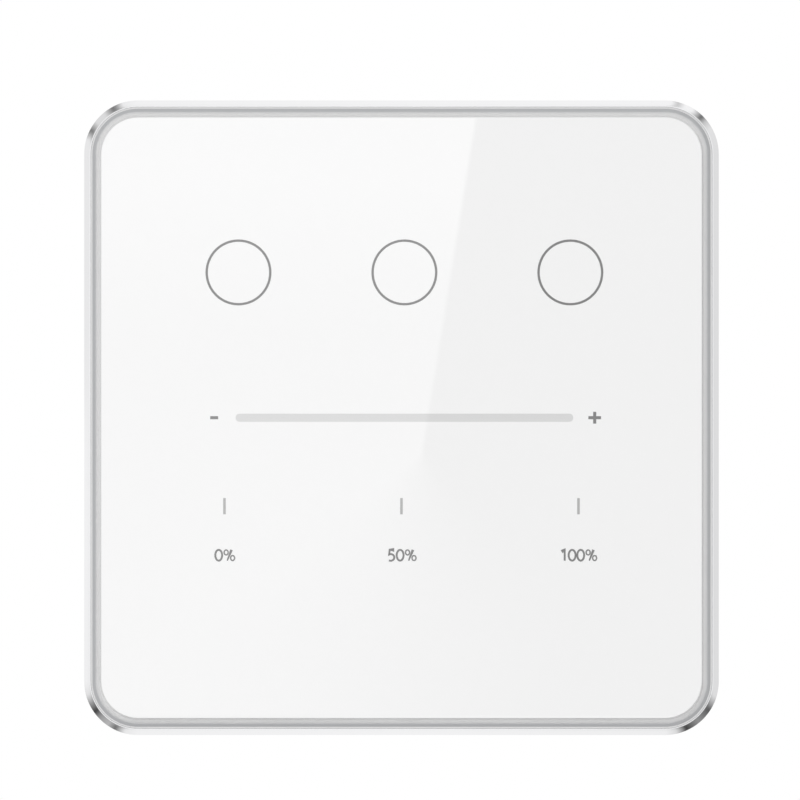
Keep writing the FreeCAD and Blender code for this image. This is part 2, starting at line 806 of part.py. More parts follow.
def slider_sensor_film():
    """Flexible film with the slider's electrodes, its window for the light bar and its tail to the board."""
    body = new_body("slider_sensor_film")
    sketch = front_sketch(body, f"{print_back} + film_thickness")
    draw_rectangle(sketch, film_length, "film_width", "mark_shift")
    draw_slot(sketch, "(slider_length + 2 * film_tail_slack)",
              "(slider_width + 2 * film_tail_slack)", "mark_shift")
    pad(body, sketch, "film_thickness")
    sketch = front_sketch(body, board_front)
    draw_rectangle(sketch, "film_tail_width", "film_thickness", "mark_shift", film_tail_z)
    pad(body, sketch, f"{board_front} - {print_back}")


def touch_board():
    """Circuit board with clearance for the pegs, its screw holes and the holes of the header pins."""
    body = new_body("touch_board")
    sketch = front_sketch(body, board_back)
    draw_rounded(sketch, touch_board_width, touch_board_width, skirt_opening_radius)
    pad(body, sketch, "touch_board_thickness")
    sketch = front_sketch(body, board_front)
    draw_circles(sketch, "(peg_diameter + 2 * board_peg_clearance)", PEGS)
    draw_circles(sketch, "panel_screw_diameter", POSTS)
    pocket(body, sketch, "touch_board_thickness")
    holes = pin_holes(body, board_front, "touch_board_thickness", "(pin_width + 2 * pin_clearance)")
    along_x(body, [holes], "pin_pitch", "pin_columns")


def pin_holes(body, y, length, width):
    """The first column of square pin holes, one in each row."""
    sketch = front_sketch(body, y)
    for row in PIN_ROWS:
        draw_rectangle(sketch, width, width, first_pin, row)
    return pocket(body, sketch, length)


def board_header():
    """The moulded carrier of the header pins on the back of the touch board."""
    body = new_body("board_header")
    sketch = front_sketch(body, f"{board_back} + header_height")
    draw_rectangle(sketch, header_width, header_depth, "0", "header_z")
    pad(body, sketch, "header_height")
    holes = pin_holes(body, board_back, "header_height", "pin_width")
    along_x(body, [holes], "pin_pitch", "pin_columns")


def header_pins():
    """The square pins, from their solder tails in front of the board to their tips in the socket."""
    body = new_body("header_pins")
    sketch = front_sketch(body, pin_tip)
    for row in PIN_ROWS:
        draw_rectangle(sketch, "pin_width", "pin_width", first_pin, row)
    pins = pad(body, sketch, f"{pin_tip} - {board_front} + pin_tail")
    along_x(body, [pins], "pin_pitch", "pin_columns")


def indicator_leds():
    """Two small lamps behind each ring and a row behind the slider."""
    lamps = []
    spots = [(f"{x} {side} (ring_diameter - guide_wall) / 2", z) for x, z in RINGS for side in "-+"]
    first_led = f"mark_shift - (led_count - 1) * {led_pitch} / 2"
    spots += [(f"({first_led} + {step} * {led_pitch})", "0") for step in range(int(value("led_count")))]
    for x, z in spots:
        lamps.append(block("lamp", centred(x, "led_length"), (f"{board_front} - led_thickness", board_front),
                           centred(z, "led_width")))
    keep(grouped("lamps", lamps), "indicator_leds")


def touch_pad(number, spot):
    """Conductive foam between a key's print and the board."""
    x, z = spot
    foam = rod("foam", pad_diameter, "y", (x, print_back, z), f"{board_front} - {print_back}")
    keep(foam, f"touch_pad_{number}")


def board_parts():
    """The touch chip and the radio module with its shield can."""
    keep(block("chip", centred("chip_x", "chip_width"), (board_back, f"{board_back} + chip_thickness"),
               centred("chip_z", "chip_width")), "touch_chip")
    module_back = f"({board_back} + radio_board_thickness)"
    keep(block("module", centred("radio_x", "radio_width"), (board_back, module_back),
               centred("radio_z", "radio_height")), "radio_board")
    body = new_body("radio_shield")
    sketch = front_sketch(body, f"{module_back} + shield_thickness")
    draw_rounded(sketch, "shield_width", "shield_height", "shield_corner", "radio_x",
                 "(radio_z - (radio_height - shield_height) / 2 + radio_margin)")
    can = pad(body, sketch, "shield_thickness")
    round_edges(body, can, on_plane_y(f"{module_back} + shield_thickness"), "shield_round")


def panel_back_cover():
    """Moulded box over the board's back, with four screw posts and the opening for the plug."""
    body = new_body("panel_back_cover")
    sketch = front_sketch(body, cover_back)
    draw_rounded(sketch, cover_width, cover_width, "cover_corner")
    shell = pad(body, sketch, f"{cover_back} - {board_back}")
    round_edges(body, shell, on_plane_y(cover_back), "cover_round")
    inside = f"({cover_width} - 2 * cover_wall)"
    sketch = front_sketch(body, board_back)
    draw_rounded(sketch, inside, inside, "(cover_corner - cover_wall)")
    pocket(body, sketch, f"{cover_floor} - {board_back}")
    sketch = front_sketch(body, cover_floor)
    draw_circles(sketch, "post_diameter", POSTS)
    pad(body, sketch, f"{cover_floor} - {board_back}")
    sketch = front_sketch(body, board_back)
    draw_circles(sketch, "panel_screw_diameter", POSTS)
    pocket(body, sketch, f"{cover_back} - {board_back}")
    sketch = front_sketch(body, cover_back)
    draw_circles(sketch, "(panel_screw_head + 2 * screw_head_room)", POSTS)
    pocket(body, sketch, "(panel_screw_head_height + screw_head_room)", reverse=True)
    sketch = front_sketch(body, cover_floor)
    draw_rectangle(sketch, f"({header_width} + 2 * socket_gap)", f"({header_depth} + 2 * socket_gap)",
                   "0", "header_z")
    pocket(body, sketch, "cover_wall")


def cross_recess(name, x, y, z, depth):
    """The two crossed slots of a screw head, sunk from its face."""
    slots = [block("slot", centred(x, "recess_length"), (y, f"{y} + {depth}"), centred(z, "recess_width")),
             block("slot", centred(x, "recess_width"), (y, f"{y} + {depth}"), centred(z, "recess_length"))]
    return joined(name, slots)


def screws(node, places, seat, tip, sizes_of, head_side):
    """A group of like screws along Y, with the plane under the heads and the side the heads are on."""
    diameter, head, head_height = (f"{sizes_of}{part}" for part in ("_diameter", "_head", "_head_height"))
    group = []
    for x, z in places:
        if head_side == "back":
            shank = rod("shank", diameter, "y", (x, tip, z), f"{seat} - {tip}")
            cap = rod("cap", head, "y", (x, seat, z), head_height)
            recess = cross_recess("recess", x, f"{seat} + {head_height} / 2", z, head_height)
        else:
            shank = rod("shank", diameter, "y", (x, seat, z), f"{tip} - {seat}")
            cap = rod("cap", head, "y", (x, f"{seat} - {head_height}", z), head_height)
            recess = cross_recess("recess", x, f"{seat} - 3 * {head_height} / 2", z, head_height)
        group.append(cut("screw", joined("blank", [shank, cap]), recess))
    keep(grouped("screws", group), node)


# The base unit.

def mounting_yoke():
    """Stamped steel frame: a window for the housing, slots for the box screws and stake holes."""
    body = new_body("mounting_yoke")
    sketch = front_sketch(body, "0")
    draw_rounded(sketch, yoke_width, yoke_width, "yoke_corner")
    window = f"({housing_width} + 2 * yoke_window_gap)"
    draw_rounded(sketch, window, window, "(housing_corner + yoke_window_gap)")
    pad(body, sketch, "yoke_thickness")
    sketch = front_sketch(body, yoke_front)
    for side in "-+":
        draw_slot(sketch, "box_slot_length", "box_slot_width", f"({side}box_screw_spacing / 2)")
    draw_circles(sketch, "stake_diameter", STAKES)
    pocket(body, sketch, "yoke_thickness")


def base_frame():
    """Moulded front of the base: a flange on the yoke and a well that goes into the housing."""
    body = new_body("base_frame")
    sketch = front_sketch(body, yoke_front)
    draw_rounded(sketch, flange_width, flange_width, skirt_opening_radius)
    pad(body, sketch, "flange_thickness")
    sketch = front_sketch(body, well_back)
    draw_rounded(sketch, well_outside, well_outside, "well_corner")
    pad(body, sketch, f"{well_back} - {yoke_front}")
    sketch = front_sketch(body, flange_front)
    draw_rounded(sketch, well_inside, well_inside, "(well_corner - well_wall)")
    pocket(body, sketch, f"well_depth - {flange_front}")
    sketch = front_sketch(body, boss_back)
    draw_circles(sketch, "base_screw_boss", COLUMNS)
    pad(body, sketch, f"{boss_back} - {well_back}")
    sketch = front_sketch(body, "0")
    draw_circles(sketch, "stake_diameter", STAKES)
    pad(body, sketch, "yoke_thickness")
    stiffening_ribs(body)
    sketch = front_sketch(body, flange_front)
    draw_circles(sketch, "(peg_diameter + 2 * peg_collar_wall)", PEGS)
    pad(body, sketch, "peg_collar")
    base_frame_openings(body)


def stiffening_ribs(body):
    """A rib along the flange's edge and another round the well."""
    sketch = front_sketch(body, flange_front)
    for width in (f"({flange_width} - 2 * rib_inset)", f"({flange_width} - 2 * rib_inset - 2 * rib_width)"):
        draw_rounded(sketch, width, width, "rib_radius")
    pad(body, sketch, "peg_collar")
    sketch = front_sketch(body, flange_front)
    draw_rounded(sketch, well_outside, well_outside, "well_corner")
    draw_rounded(sketch, well_inside, well_inside, "(well_corner - well_wall)")
    pad(body, sketch, "peg_collar")


def base_frame_openings(body):
    """The sockets of the pegs, the windows over the box screws, the screw seats and the plug's opening."""
    sketch = front_sketch(body, collar_front)
    draw_circles(sketch, "(peg_diameter + 2 * peg_clearance)", PEGS)
    pocket(body, sketch, f"{yoke_front} - {collar_front}")
    sketch = front_sketch(body, flange_front)
    for side in "-+":
        draw_rounded(sketch, "head_window_width", "head_window_height", "head_window_corner",
                     f"({side}box_screw_spacing / 2)")
    pocket(body, sketch, "flange_thickness")
    sketch = front_sketch(body, "well_depth")
    draw_circles(sketch, "(base_screw_head + 2 * screw_head_room)", COLUMNS)
    pocket(body, sketch, "(base_screw_head_height + screw_head_room)")
    sketch = front_sketch(body, "well_depth")
    draw_circles(sketch, "base_screw_diameter", COLUMNS)
    pocket(body, sketch, f"{boss_back} - well_depth")
    sketch = front_sketch(body, "well_depth")
    draw_rectangle(sketch, f"({socket_width} + 2 * socket_gap)", f"({socket_depth} + 2 * socket_gap)",
                   "0", "header_z")
    pocket(body, sketch, "well_floor")


def rear_housing():
    """Moulded box in the wall box, with screw columns, vents and the notch for the terminal block."""
    body = new_body("rear_housing")
    sketch = front_sketch(body, housing_back)
    draw_rounded(sketch, housing_width, housing_width, "housing_corner")
    shell = pad(body, sketch, f"{housing_back} - {yoke_front}")
    round_edges(body, shell, on_plane_y(housing_back), "housing_round")
    sketch = front_sketch(body, yoke_front)
    draw_rounded(sketch, housing_inside, housing_inside, housing_inside_radius)
    pocket(body, sketch, f"{housing_floor} - {yoke_front}")
    sketch = front_sketch(body, housing_floor)
    draw_circles(sketch, "column_diameter", COLUMNS)
    pad(body, sketch, f"{housing_floor} - {boss_back}")
    sketch = front_sketch(body, boss_back)
    draw_circles(sketch, "base_screw_diameter", COLUMNS)
    pocket(body, sketch, "base_screw_length")
    sketch = front_sketch(body, f"{power_back} + notch_gap")
    draw_rectangle(sketch, f"(2 * {block_half} + 2 * notch_gap)",
                   f"(2 * ({block_high} + notch_gap + {housing_width} / 2))", "0", f"(-{housing_width} / 2)")
    pocket(body, sketch, f"{housing_back} - {power_back}")
    side_reliefs(body)
    vents(body)


def side_reliefs(body):
    """A shallow recess in each side wall, which clears the screw lugs of the wall box."""
    for side, inwards in (("-", True), ("+", False)):
        sketch = sketch_on(body, "YZ_Plane", f"({side}{housing_width} / 2)")
        draw_rounded(sketch, "relief_length", "relief_height", "relief_corner",
                     "(relief_start + relief_length / 2)")
        pocket(body, sketch, "relief_depth", reverse=inwards)


def vents(body):
    """A row of upright slots through the rear wall, and one through the top wall."""
    first = "(-(vent_count - 1) * vent_pitch / 2)"
    sketch = front_sketch(body, housing_floor)
    draw_rectangle(sketch, "vent_width", "vent_length", first, "vent_z")
    rear = pocket(body, sketch, "housing_wall")
    sketch = sketch_on(body, "XY_Plane", f"{housing_width} / 2")
    middle = f"({power_back} + vent_length / 2 + notch_gap)"
    draw_rectangle(sketch, "vent_width", "vent_length", first, middle)
    top = pocket(body, sketch, "housing_wall")
    along_x(body, [rear, top], "vent_pitch", "vent_count")


def power_board():
    """Circuit board in the housing, notched for the screw columns and drilled for the contacts' pins."""
    body = new_body("power_board")
    width = f"({housing_inside} - 2 * power_board_gap)"
    sketch = front_sketch(body, power_back)
    draw_rounded(sketch, width, width, housing_inside_radius)
    pad(body, sketch, "power_board_thickness")
    sketch = front_sketch(body, power_front)
    reach = "(column_diameter + 2 * column_notch_gap)"
    for u, w in COLUMNS:
        side = u[1]
        draw_rectangle(sketch, f"({housing_width} / 2 - {column_place} + {reach} / 2)", reach,
                       f"({side}({column_place} - {reach} / 2 + {housing_width} / 2) / 2)", w)
    pocket(body, sketch, "power_board_thickness")
    sketch = front_sketch(body, power_front)
    draw_rectangle(sketch, "contact_pin", "contact_pin", first_cell, f"(({leg_low} + {leg_high}) / 2)")
    holes = pocket(body, sketch, "power_board_thickness")
    along_x(body, [holes], "terminal_pitch", "terminal_count")


def header_socket():
    """The socket that takes the front unit's pins."""
    body = new_body("header_socket")
    sketch = front_sketch(body, power_front)
    draw_rectangle(sketch, socket_width, socket_depth, "0", "header_z")
    pad(body, sketch, f"{power_front} - {socket_front}")
    holes = pin_holes(body, socket_front, f"{power_front} - {socket_front}",
                      "(pin_width + 2 * pin_clearance)")
    along_x(body, [holes], "pin_pitch", "pin_columns")


def terminal_block():
    """One moulded block of like cells: a cage space, a wire port, a contact slot and a screw seat."""
    body = new_body("terminal_block")
    sketch = front_sketch(body, block_back)
    low, high = f"(-{block_half})", block_half
    draw_polygon(sketch, [(low, block_low), (high, block_low), (high, block_high), (low, block_high)])
    pad(body, sketch, f"{block_back} - {power_back}")
    cuts = [cell_space(body), contact_slot(body)] + screw_seat(body)
    cuts.append(wire_port(body))
    cells = along_x(body, cuts, "terminal_pitch", "terminal_count")
    bevel_edges(body, cells, port_edges, "port_bevel")
    barrier = screw_barrier(body)
    along_x(body, [barrier], "terminal_pitch", "(terminal_count - 1)")


def port_edges(edge):
    """Whether an edge is the rim of a wire port on the lower face."""
    box, low = edge.BoundBox, value(block_low)
    on_face = abs(box.ZMin - low) < 1e-6 and abs(box.ZMax - low) < 1e-6
    return on_face and edge.Length < value("terminal_pitch")


def screw_barrier(body):
    """The rib on the rear face that parts one screw from the next."""
    sketch = front_sketch(body, f"{block_back} + barrier_height")
    draw_rectangle(sketch, "barrier_width", f"({block_high} - {block_low})",
                   f"({first_cell} + terminal_pitch / 2)", f"(({block_high} + {block_low}) / 2)")
    return pad(body, sketch, "barrier_height")


def cell_space(body):
    """The space in which the cage rises."""
    sketch = front_sketch(body, power_back)
    draw_rectangle(sketch, cell_width, f"({cell_high} - {cell_low})", first_cell, screw_z)
    return pocket(body, sketch, f"{ledge_low} - {power_back}")


def contact_slot(body):
    """The slot through the inner wall in which the contact bar seats."""
    sketch = front_sketch(body, power_back)
    draw_rectangle(sketch, "contact_width", "(2 * block_inner_wall)", first_cell, block_high)
    return pocket(body, sketch, f"{contact_high} - {power_back}")


def screw_seat(body):
    """The screw's bearing in the ledge, the room for its head and the narrower entry that keeps it in."""
    bores = []
    for start, length, diameter in (
            (ledge_low, "ledge_thickness", "(terminal_screw_diameter + 2 * terminal_screw_fit)"),
            (ledge_high, f"{lip_low} - {ledge_high}", "(terminal_head_diameter + 2 * cell_gap)"),
            (lip_low, "terminal_lip", "(terminal_head_diameter - 2 * terminal_lip_grip)")):
        sketch = front_sketch(body, start)
        draw_circle(sketch, diameter, first_cell, screw_z)
        bores.append(pocket(body, sketch, length))
    return bores


def wire_port(body):
    """The square way in for a wire, through the lower face."""
    sketch = sketch_on(body, "XY_Plane", block_low)
    draw_rectangle(sketch, "port_width", "(wire_space + 2 * port_rim)",
                   first_cell, f"({wire_low} + wire_space / 2)")
    return pocket(body, sketch, "port_wall", reverse=True)


def contact_bar(number, place):
    """A fixed contact: the bar over the wire, its leg to the board and its solder pin."""
    body = new_body(f"contact_bar_{number}")
    sketch = sketch_on(body, "YZ_Plane", "-contact_width / 2")
    draw_polygon(sketch, [(contact_low, cage_near), (contact_high, cage_near), (contact_high, leg_high),
                          (power_back, leg_high), (power_back, leg_low), (contact_low, leg_low)])
    pad(body, sketch, "contact_width")
    sketch = front_sketch(body, power_back)
    draw_rectangle(sketch, "contact_pin", "contact_pin", "0", f"(({leg_low} + {leg_high}) / 2)")
    pad(body, sketch, f"{power_back} - {power_front} + pin_tail")
    bind(body, "Placement.Base.x", place)


def clamp_cage(number, place):
    """A bent steel cage round the contact bar, with the thread for its screw in its head."""
    body = new_body(f"clamp_cage_{number}")
    height = f"({cage_high} - {cage_low})"
    middle = f"(({cage_high} + {cage_low}) / 2)"
    inside = "(cage_width - 2 * cage_wall)"
    sketch = sketch_on(body, "XY_Plane", cage_near)
    draw_rounded(sketch, "cage_width", height, "cage_corner", "0", middle)
    draw_rectangle(sketch, inside, f"({cage_head_low} - {wire_low})",
                   "0", f"(({cage_head_low} + {wire_low}) / 2)")
    pad(body, sketch, "cage_depth")
    sketch = front_sketch(body, cage_head_low)
    draw_circle(sketch, "(terminal_screw_diameter + 2 * terminal_screw_fit)", "0", screw_z)
    pocket(body, sketch, "cage_head")
    bind(body, "Placement.Base.x", place)


def terminal_screw(number, place):
    """A turned screw with a cheese head, a bevelled tip and a crossed recess."""
    body = new_body(f"terminal_screw_{number}")
    radius, head = "terminal_screw_diameter / 2", "terminal_head_diameter / 2"
    tip, point = f"{cage_head_low} + terminal_screw_tip_gap", "recess_width / 2"
    sketch = sketch_on(body, "XY_Plane", "0")
    draw_polygon(sketch, [("0", tip), (f"{radius} - {point}", tip), (radius, f"{tip} + {point}"),
                          (radius, head_low), (head, head_low), (head, f"{head_high} - {point}"),
                          (f"{head} - {point}", head_high), ("0", head_high)])
    turned = body.newObject("PartDesign::Revolution", "turned")
    turned.Profile = sketch
    turned.ReferenceAxis = (sketch, ["V_Axis"])
    turned.Angle = 360
    doc.recompute()
    sketch = front_sketch(body, head_high)
    arm, half = "recess_length / 2", "recess_width / 2"
    draw_polygon(sketch, [(f"-{arm}", f"-{half}"), (f"-{half}", f"-{half}"), (f"-{half}", f"-{arm}"),
                          (half, f"-{arm}"), (half, f"-{half}"), (arm, f"-{half}"), (arm, half), (half, half),
                          (half, arm), (f"-{half}", arm), (f"-{half}", half), (f"-{arm}", half)])
    pocket(body, sketch, "recess_depth", reverse=True)
    bind(body, "Placement.Base.x", place)
    bind(body, "Placement.Base.z", screw_z)


def terminals():
    terminal_block()
    for number in range(1, int(value("terminal_count")) + 1):
        place = f"{first_cell} + {number - 1} * terminal_pitch"
        contact_bar(number, place)
        clamp_cage(number, place)
        terminal_screw(number, place)


def heat_sink():
    """An aluminium plate that stands on the board along the top of the housing, under its vents."""
    body = new_body("heat_sink_plate")
    sketch = front_sketch(body, f"{housing_floor} - heat_sink_end_gap")
    draw_rectangle(sketch, "heat_sink_width", "heat_sink_thickness",
                   "0", "(heat_sink_z + heat_sink_thickness / 2)")
    pad(body, sketch, f"{housing_floor} - heat_sink_end_gap - {power_back}")
    sketch = sketch_on(body, "XY_Plane", "heat_sink_z")
    for side in "-+":
        draw_circle(sketch, "transistor_screw_diameter", f"({side}transistor_spread)", tab_hole)
    pocket(body, sketch, "heat_sink_thickness", reverse=True)


def transistor(number, side):
    """A power transistor: its moulded body and leads, and the metal tab that is screwed to the plate."""
    place = f"({side}transistor_spread)"
    low = f"({power_back} + transistor_lift)"
    shell = block("shell", centred(place, "transistor_width"), (low, tab_low),
                  ("heat_sink_z - transistor_thickness", "heat_sink_z"))
    tab = block("tab", centred(place, "transistor_width"), (tab_low, f"{tab_low} + transistor_tab_height"),
                ("heat_sink_z - transistor_tab", "heat_sink_z"))
    leads = [block("lead", centred(f"({place} + {step} * transistor_lead_pitch)", "transistor_lead"),
                   (power_back, low), centred("(heat_sink_z - transistor_thickness / 2)", "transistor_lead"))
             for step in (-1, 0, 1)]
    hole = rod("hole", "transistor_screw_diameter", "z",
               (place, tab_hole, "heat_sink_z - transistor_thickness"), "transistor_thickness")
    keep(cut("package", joined("blank", [shell, tab] + leads), hole), f"transistor_{number}")


def transistor_screws():
    """The two screws that hold the transistors to the plate."""
    group = []
    for side in "-+":
        place = f"({side}transistor_spread)"
        seat = "heat_sink_z - transistor_tab"
        shank = rod("shank", "transistor_screw_diameter", "z", (place, tab_hole, seat),
                    "transistor_tab + heat_sink_thickness")
        cap = rod("cap", "transistor_screw_head", "z",
                  (place, tab_hole, f"{seat} - transistor_screw_head_height"), "transistor_screw_head_height")
        group.append(joined("screw", [shank, cap]))
    keep(grouped("screws", group), "transistor_screws")


def transformer():
    """Two ferrite halves as one closed core, and the winding on its middle limb."""
    base = (power_back, f"{power_back} + core_height")
    outer = block("core", centred("core_x", "core_width"), base, centred("core_z", "core_depth"))
    window_y = (f"{power_back} + core_limb / 2", f"{power_back} + core_height - core_limb / 2")
    limb = "(core_width - 2 * core_limb)"
    windows = []
    for side in "-+":
        middle = f"(core_x {side} ({limb} + core_limb) / 4)"
        windows.append(block("window", centred(middle, f"({limb} - core_limb) / 2"), window_y,
                             centred("core_z", "core_depth")))
    keep(cut("ferrite", outer, joined("windows", windows)), "transformer_core")
    body = new_body("transformer_winding")
    sketch = front_sketch(body, window_y[1])
    draw_rounded(sketch, limb, "winding_depth", "winding_corner", "core_x", "core_z")
    draw_rectangle(sketch, "core_limb", "core_depth", "core_x", "core_z")
    pad(body, sketch, f"core_height - core_limb")


def board_components():
    """The bulk capacitor, the choke, the fuse and the varistor, all seated on the board."""
    body = new_body("bulk_capacitor")
    sketch = front_sketch(body, f"{power_back} + capacitor_height")
    draw_circle(sketch, "capacitor_diameter", "capacitor_x", "capacitor_z")
    can = pad(body, sketch, "capacitor_height")
    round_edges(body, can, on_plane_y(f"{power_back} + capacitor_height"), "capacitor_round")
    ring = doc.addObject("Part::Torus", "choke")
    wound_radius = "(choke_diameter - choke_bore) / 4"
    bind(ring, "Radius1", "(choke_diameter + choke_bore) / 4")
    bind(ring, "Radius2", wound_radius)
    ring.Placement.Rotation = TURNS["y"]
    for letter, place in zip("xyz", ("choke_x", f"{power_back} + {wound_radius}", "choke_z")):
        bind(ring, f"Placement.Base.{letter}", place)
    keep(ring, "choke_coil")
    start = ("fuse_x - fuse_length / 2", f"{power_back} + fuse_diameter / 2", "fuse_z")
    keep(rod("cartridge", "fuse_diameter", "x", start, "fuse_length"), "fuse")
    start = ("varistor_x - varistor_thickness / 2", f"{power_back} + varistor_diameter / 2", "varistor_z")
    keep(rod("disc", "varistor_diameter", "x", start, "varistor_thickness"), "varistor")


def front_unit():
    glass_panel()
    back_print()
    printed_marks()
    bezel_frame()
    adhesive_sheet()
    panel_carrier()
    for number, spot in enumerate(RINGS, start=1):
        ring_light_guide(number, spot)
        touch_pad(number, spot)
    slider_light_guide()
    slider_sensor_film()
    touch_board()
    indicator_leds()
    board_parts()
    board_header()
    header_pins()
    panel_back_cover()
    screws("panel_screws", POSTS, f"({cover_back} - panel_screw_head_height - screw_head_room)",
           panel_screw_tip, "panel_screw", "back")


def base_unit():
    mounting_yoke()
    base_frame()
    screws("base_screws", COLUMNS, "(well_depth + base_screw_head_height + screw_head_room)",
           f"{boss_back} + base_screw_length", "base_screw", "front")
    rear_housing()
    power_board()
    header_socket()
    heat_sink()
    transistor(1, "-")
    transistor(2, "+")
    transistor_screws()
    transformer()
    board_components()
    terminals()


def check_all():
    """Stop on any object that failed and on any sub-part with no sound solid."""
    doc.recompute()
    for thing in doc.Objects:
        if {"Invalid", "Error"} & set(thing.State):
            raise RuntimeError(f"{thing.Name} failed: {thing.State}")
    for node, thing in sub_parts.items():
        if thing.Shape.isNull() or not thing.Shape.isValid() or not thing.Shape.Solids:
            raise RuntimeError(f"{node} has no sound solid")


front_unit()
base_unit()
check_all()
for node, thing in sub_parts.items():
    thing.Shape.exportStep(f"parts/{node}.step")
print(len(sub_parts), "sub-parts")
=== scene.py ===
"""Smart dimmer switch: a glass touch panel plugged into a base unit, in a white light tent."""
import math

import bmesh
import bpy
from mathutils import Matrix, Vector


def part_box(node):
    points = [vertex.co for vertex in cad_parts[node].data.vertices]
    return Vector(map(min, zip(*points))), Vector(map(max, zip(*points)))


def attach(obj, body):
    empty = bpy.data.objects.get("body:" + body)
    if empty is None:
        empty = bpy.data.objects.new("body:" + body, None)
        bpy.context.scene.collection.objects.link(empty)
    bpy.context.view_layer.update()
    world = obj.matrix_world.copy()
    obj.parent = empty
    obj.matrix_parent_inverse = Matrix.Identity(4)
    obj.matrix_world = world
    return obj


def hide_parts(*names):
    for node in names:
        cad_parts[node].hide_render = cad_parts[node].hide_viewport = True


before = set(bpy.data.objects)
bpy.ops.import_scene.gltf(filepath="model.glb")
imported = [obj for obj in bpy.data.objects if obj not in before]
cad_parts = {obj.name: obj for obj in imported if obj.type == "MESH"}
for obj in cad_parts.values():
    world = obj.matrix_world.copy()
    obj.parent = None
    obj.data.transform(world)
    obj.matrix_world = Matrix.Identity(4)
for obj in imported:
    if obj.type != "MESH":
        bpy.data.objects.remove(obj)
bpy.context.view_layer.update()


# Rear housing: a black glass-filled polycarbonate box that goes into the wall box, held to the
# base frame by four screws. It is injection moulded in a spark-eroded tool, which leaves an even
# grain. The real grain is about 0.1 mm, so each moulded surface draws it coarser, to show.
def linear(code):
    """The linear colour of an sRGB hex code, with full alpha."""
    parts = [int(code[start:start + 2], 16) / 255 for start in (1, 3, 5)]
    return [part / 12.92 if part <= 0.04045 else ((part + 0.055) / 1.055) ** 2.4
            for part in parts] + [1.0]


def add_node(tree, kind, inputs=None, **settings):
    """Add a node with its settings. An input is a plain value or the output that feeds it."""
    node = tree.nodes.new(kind)
    for name, value in settings.items():
        setattr(node, name, value)
    for name, value in (inputs or {}).items():
        if isinstance(value, bpy.types.NodeSocket):
            tree.links.new(value, node.inputs[name])
        else:
            node.inputs[name].default_value = value
    return node


def new_surface(name, inputs):
    """A material with its shader. Gives it, its tree, the shader and the place on the piece."""
    material = bpy.data.materials.new(name)
    material.use_nodes = True
    tree = material.node_tree
    tree.nodes.clear()
    shader = add_node(tree, "ShaderNodeBsdfPrincipled", inputs)
    add_node(tree, "ShaderNodeOutputMaterial", {"Surface": shader.outputs["BSDF"]})
    place = add_node(tree, "ShaderNodeTexCoord").outputs["Object"]
    return material, tree, shader, place


def moulded(name, pale, deep, roughness, grain, height):
    """A moulded plastic: two near colours that drift as the melt flowed, and the tool's grain."""
    drifts_per_metre, uneven = 45.0, 0.06
    material, tree, shader, place = new_surface(name, {"IOR": 1.49})
    drift = add_node(tree, "ShaderNodeTexNoise", {"Vector": place, "Scale": drifts_per_metre,
                                                  "Detail": 2.0})
    tint = add_node(tree, "ShaderNodeMix", {"Factor": drift.outputs["Fac"], "A": linear(pale),
                                            "B": linear(deep)}, data_type="RGBA")
    pits = add_node(tree, "ShaderNodeTexNoise", {"Vector": place, "Scale": 1 / grain,
                                                 "Detail": 3.0})
    sheen = add_node(tree, "ShaderNodeMapRange", {"Value": pits.outputs["Fac"],
                                                  "To Min": roughness - uneven,
                                                  "To Max": roughness + uneven})
    relief = add_node(tree, "ShaderNodeBump", {"Height": pits.outputs["Fac"], "Strength": 0.6,
                                               "Distance": height})
    tree.links.new(tint.outputs["Result"], shader.inputs["Base Color"])
    tree.links.new(sheen.outputs["Result"], shader.inputs["Roughness"])
    tree.links.new(relief.outputs["Normal"], shader.inputs["Normal"])
    return material


def dress(material, *names):
    """Give CAD nodes a material."""
    for name in names:
        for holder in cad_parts[name].material_slots:
            holder.material = material


dress(moulded("spark_eroded_black_polycarbonate", "#232325", "#1a1a1c", 0.5, 0.0004, 0.00004),
      "rear_housing")


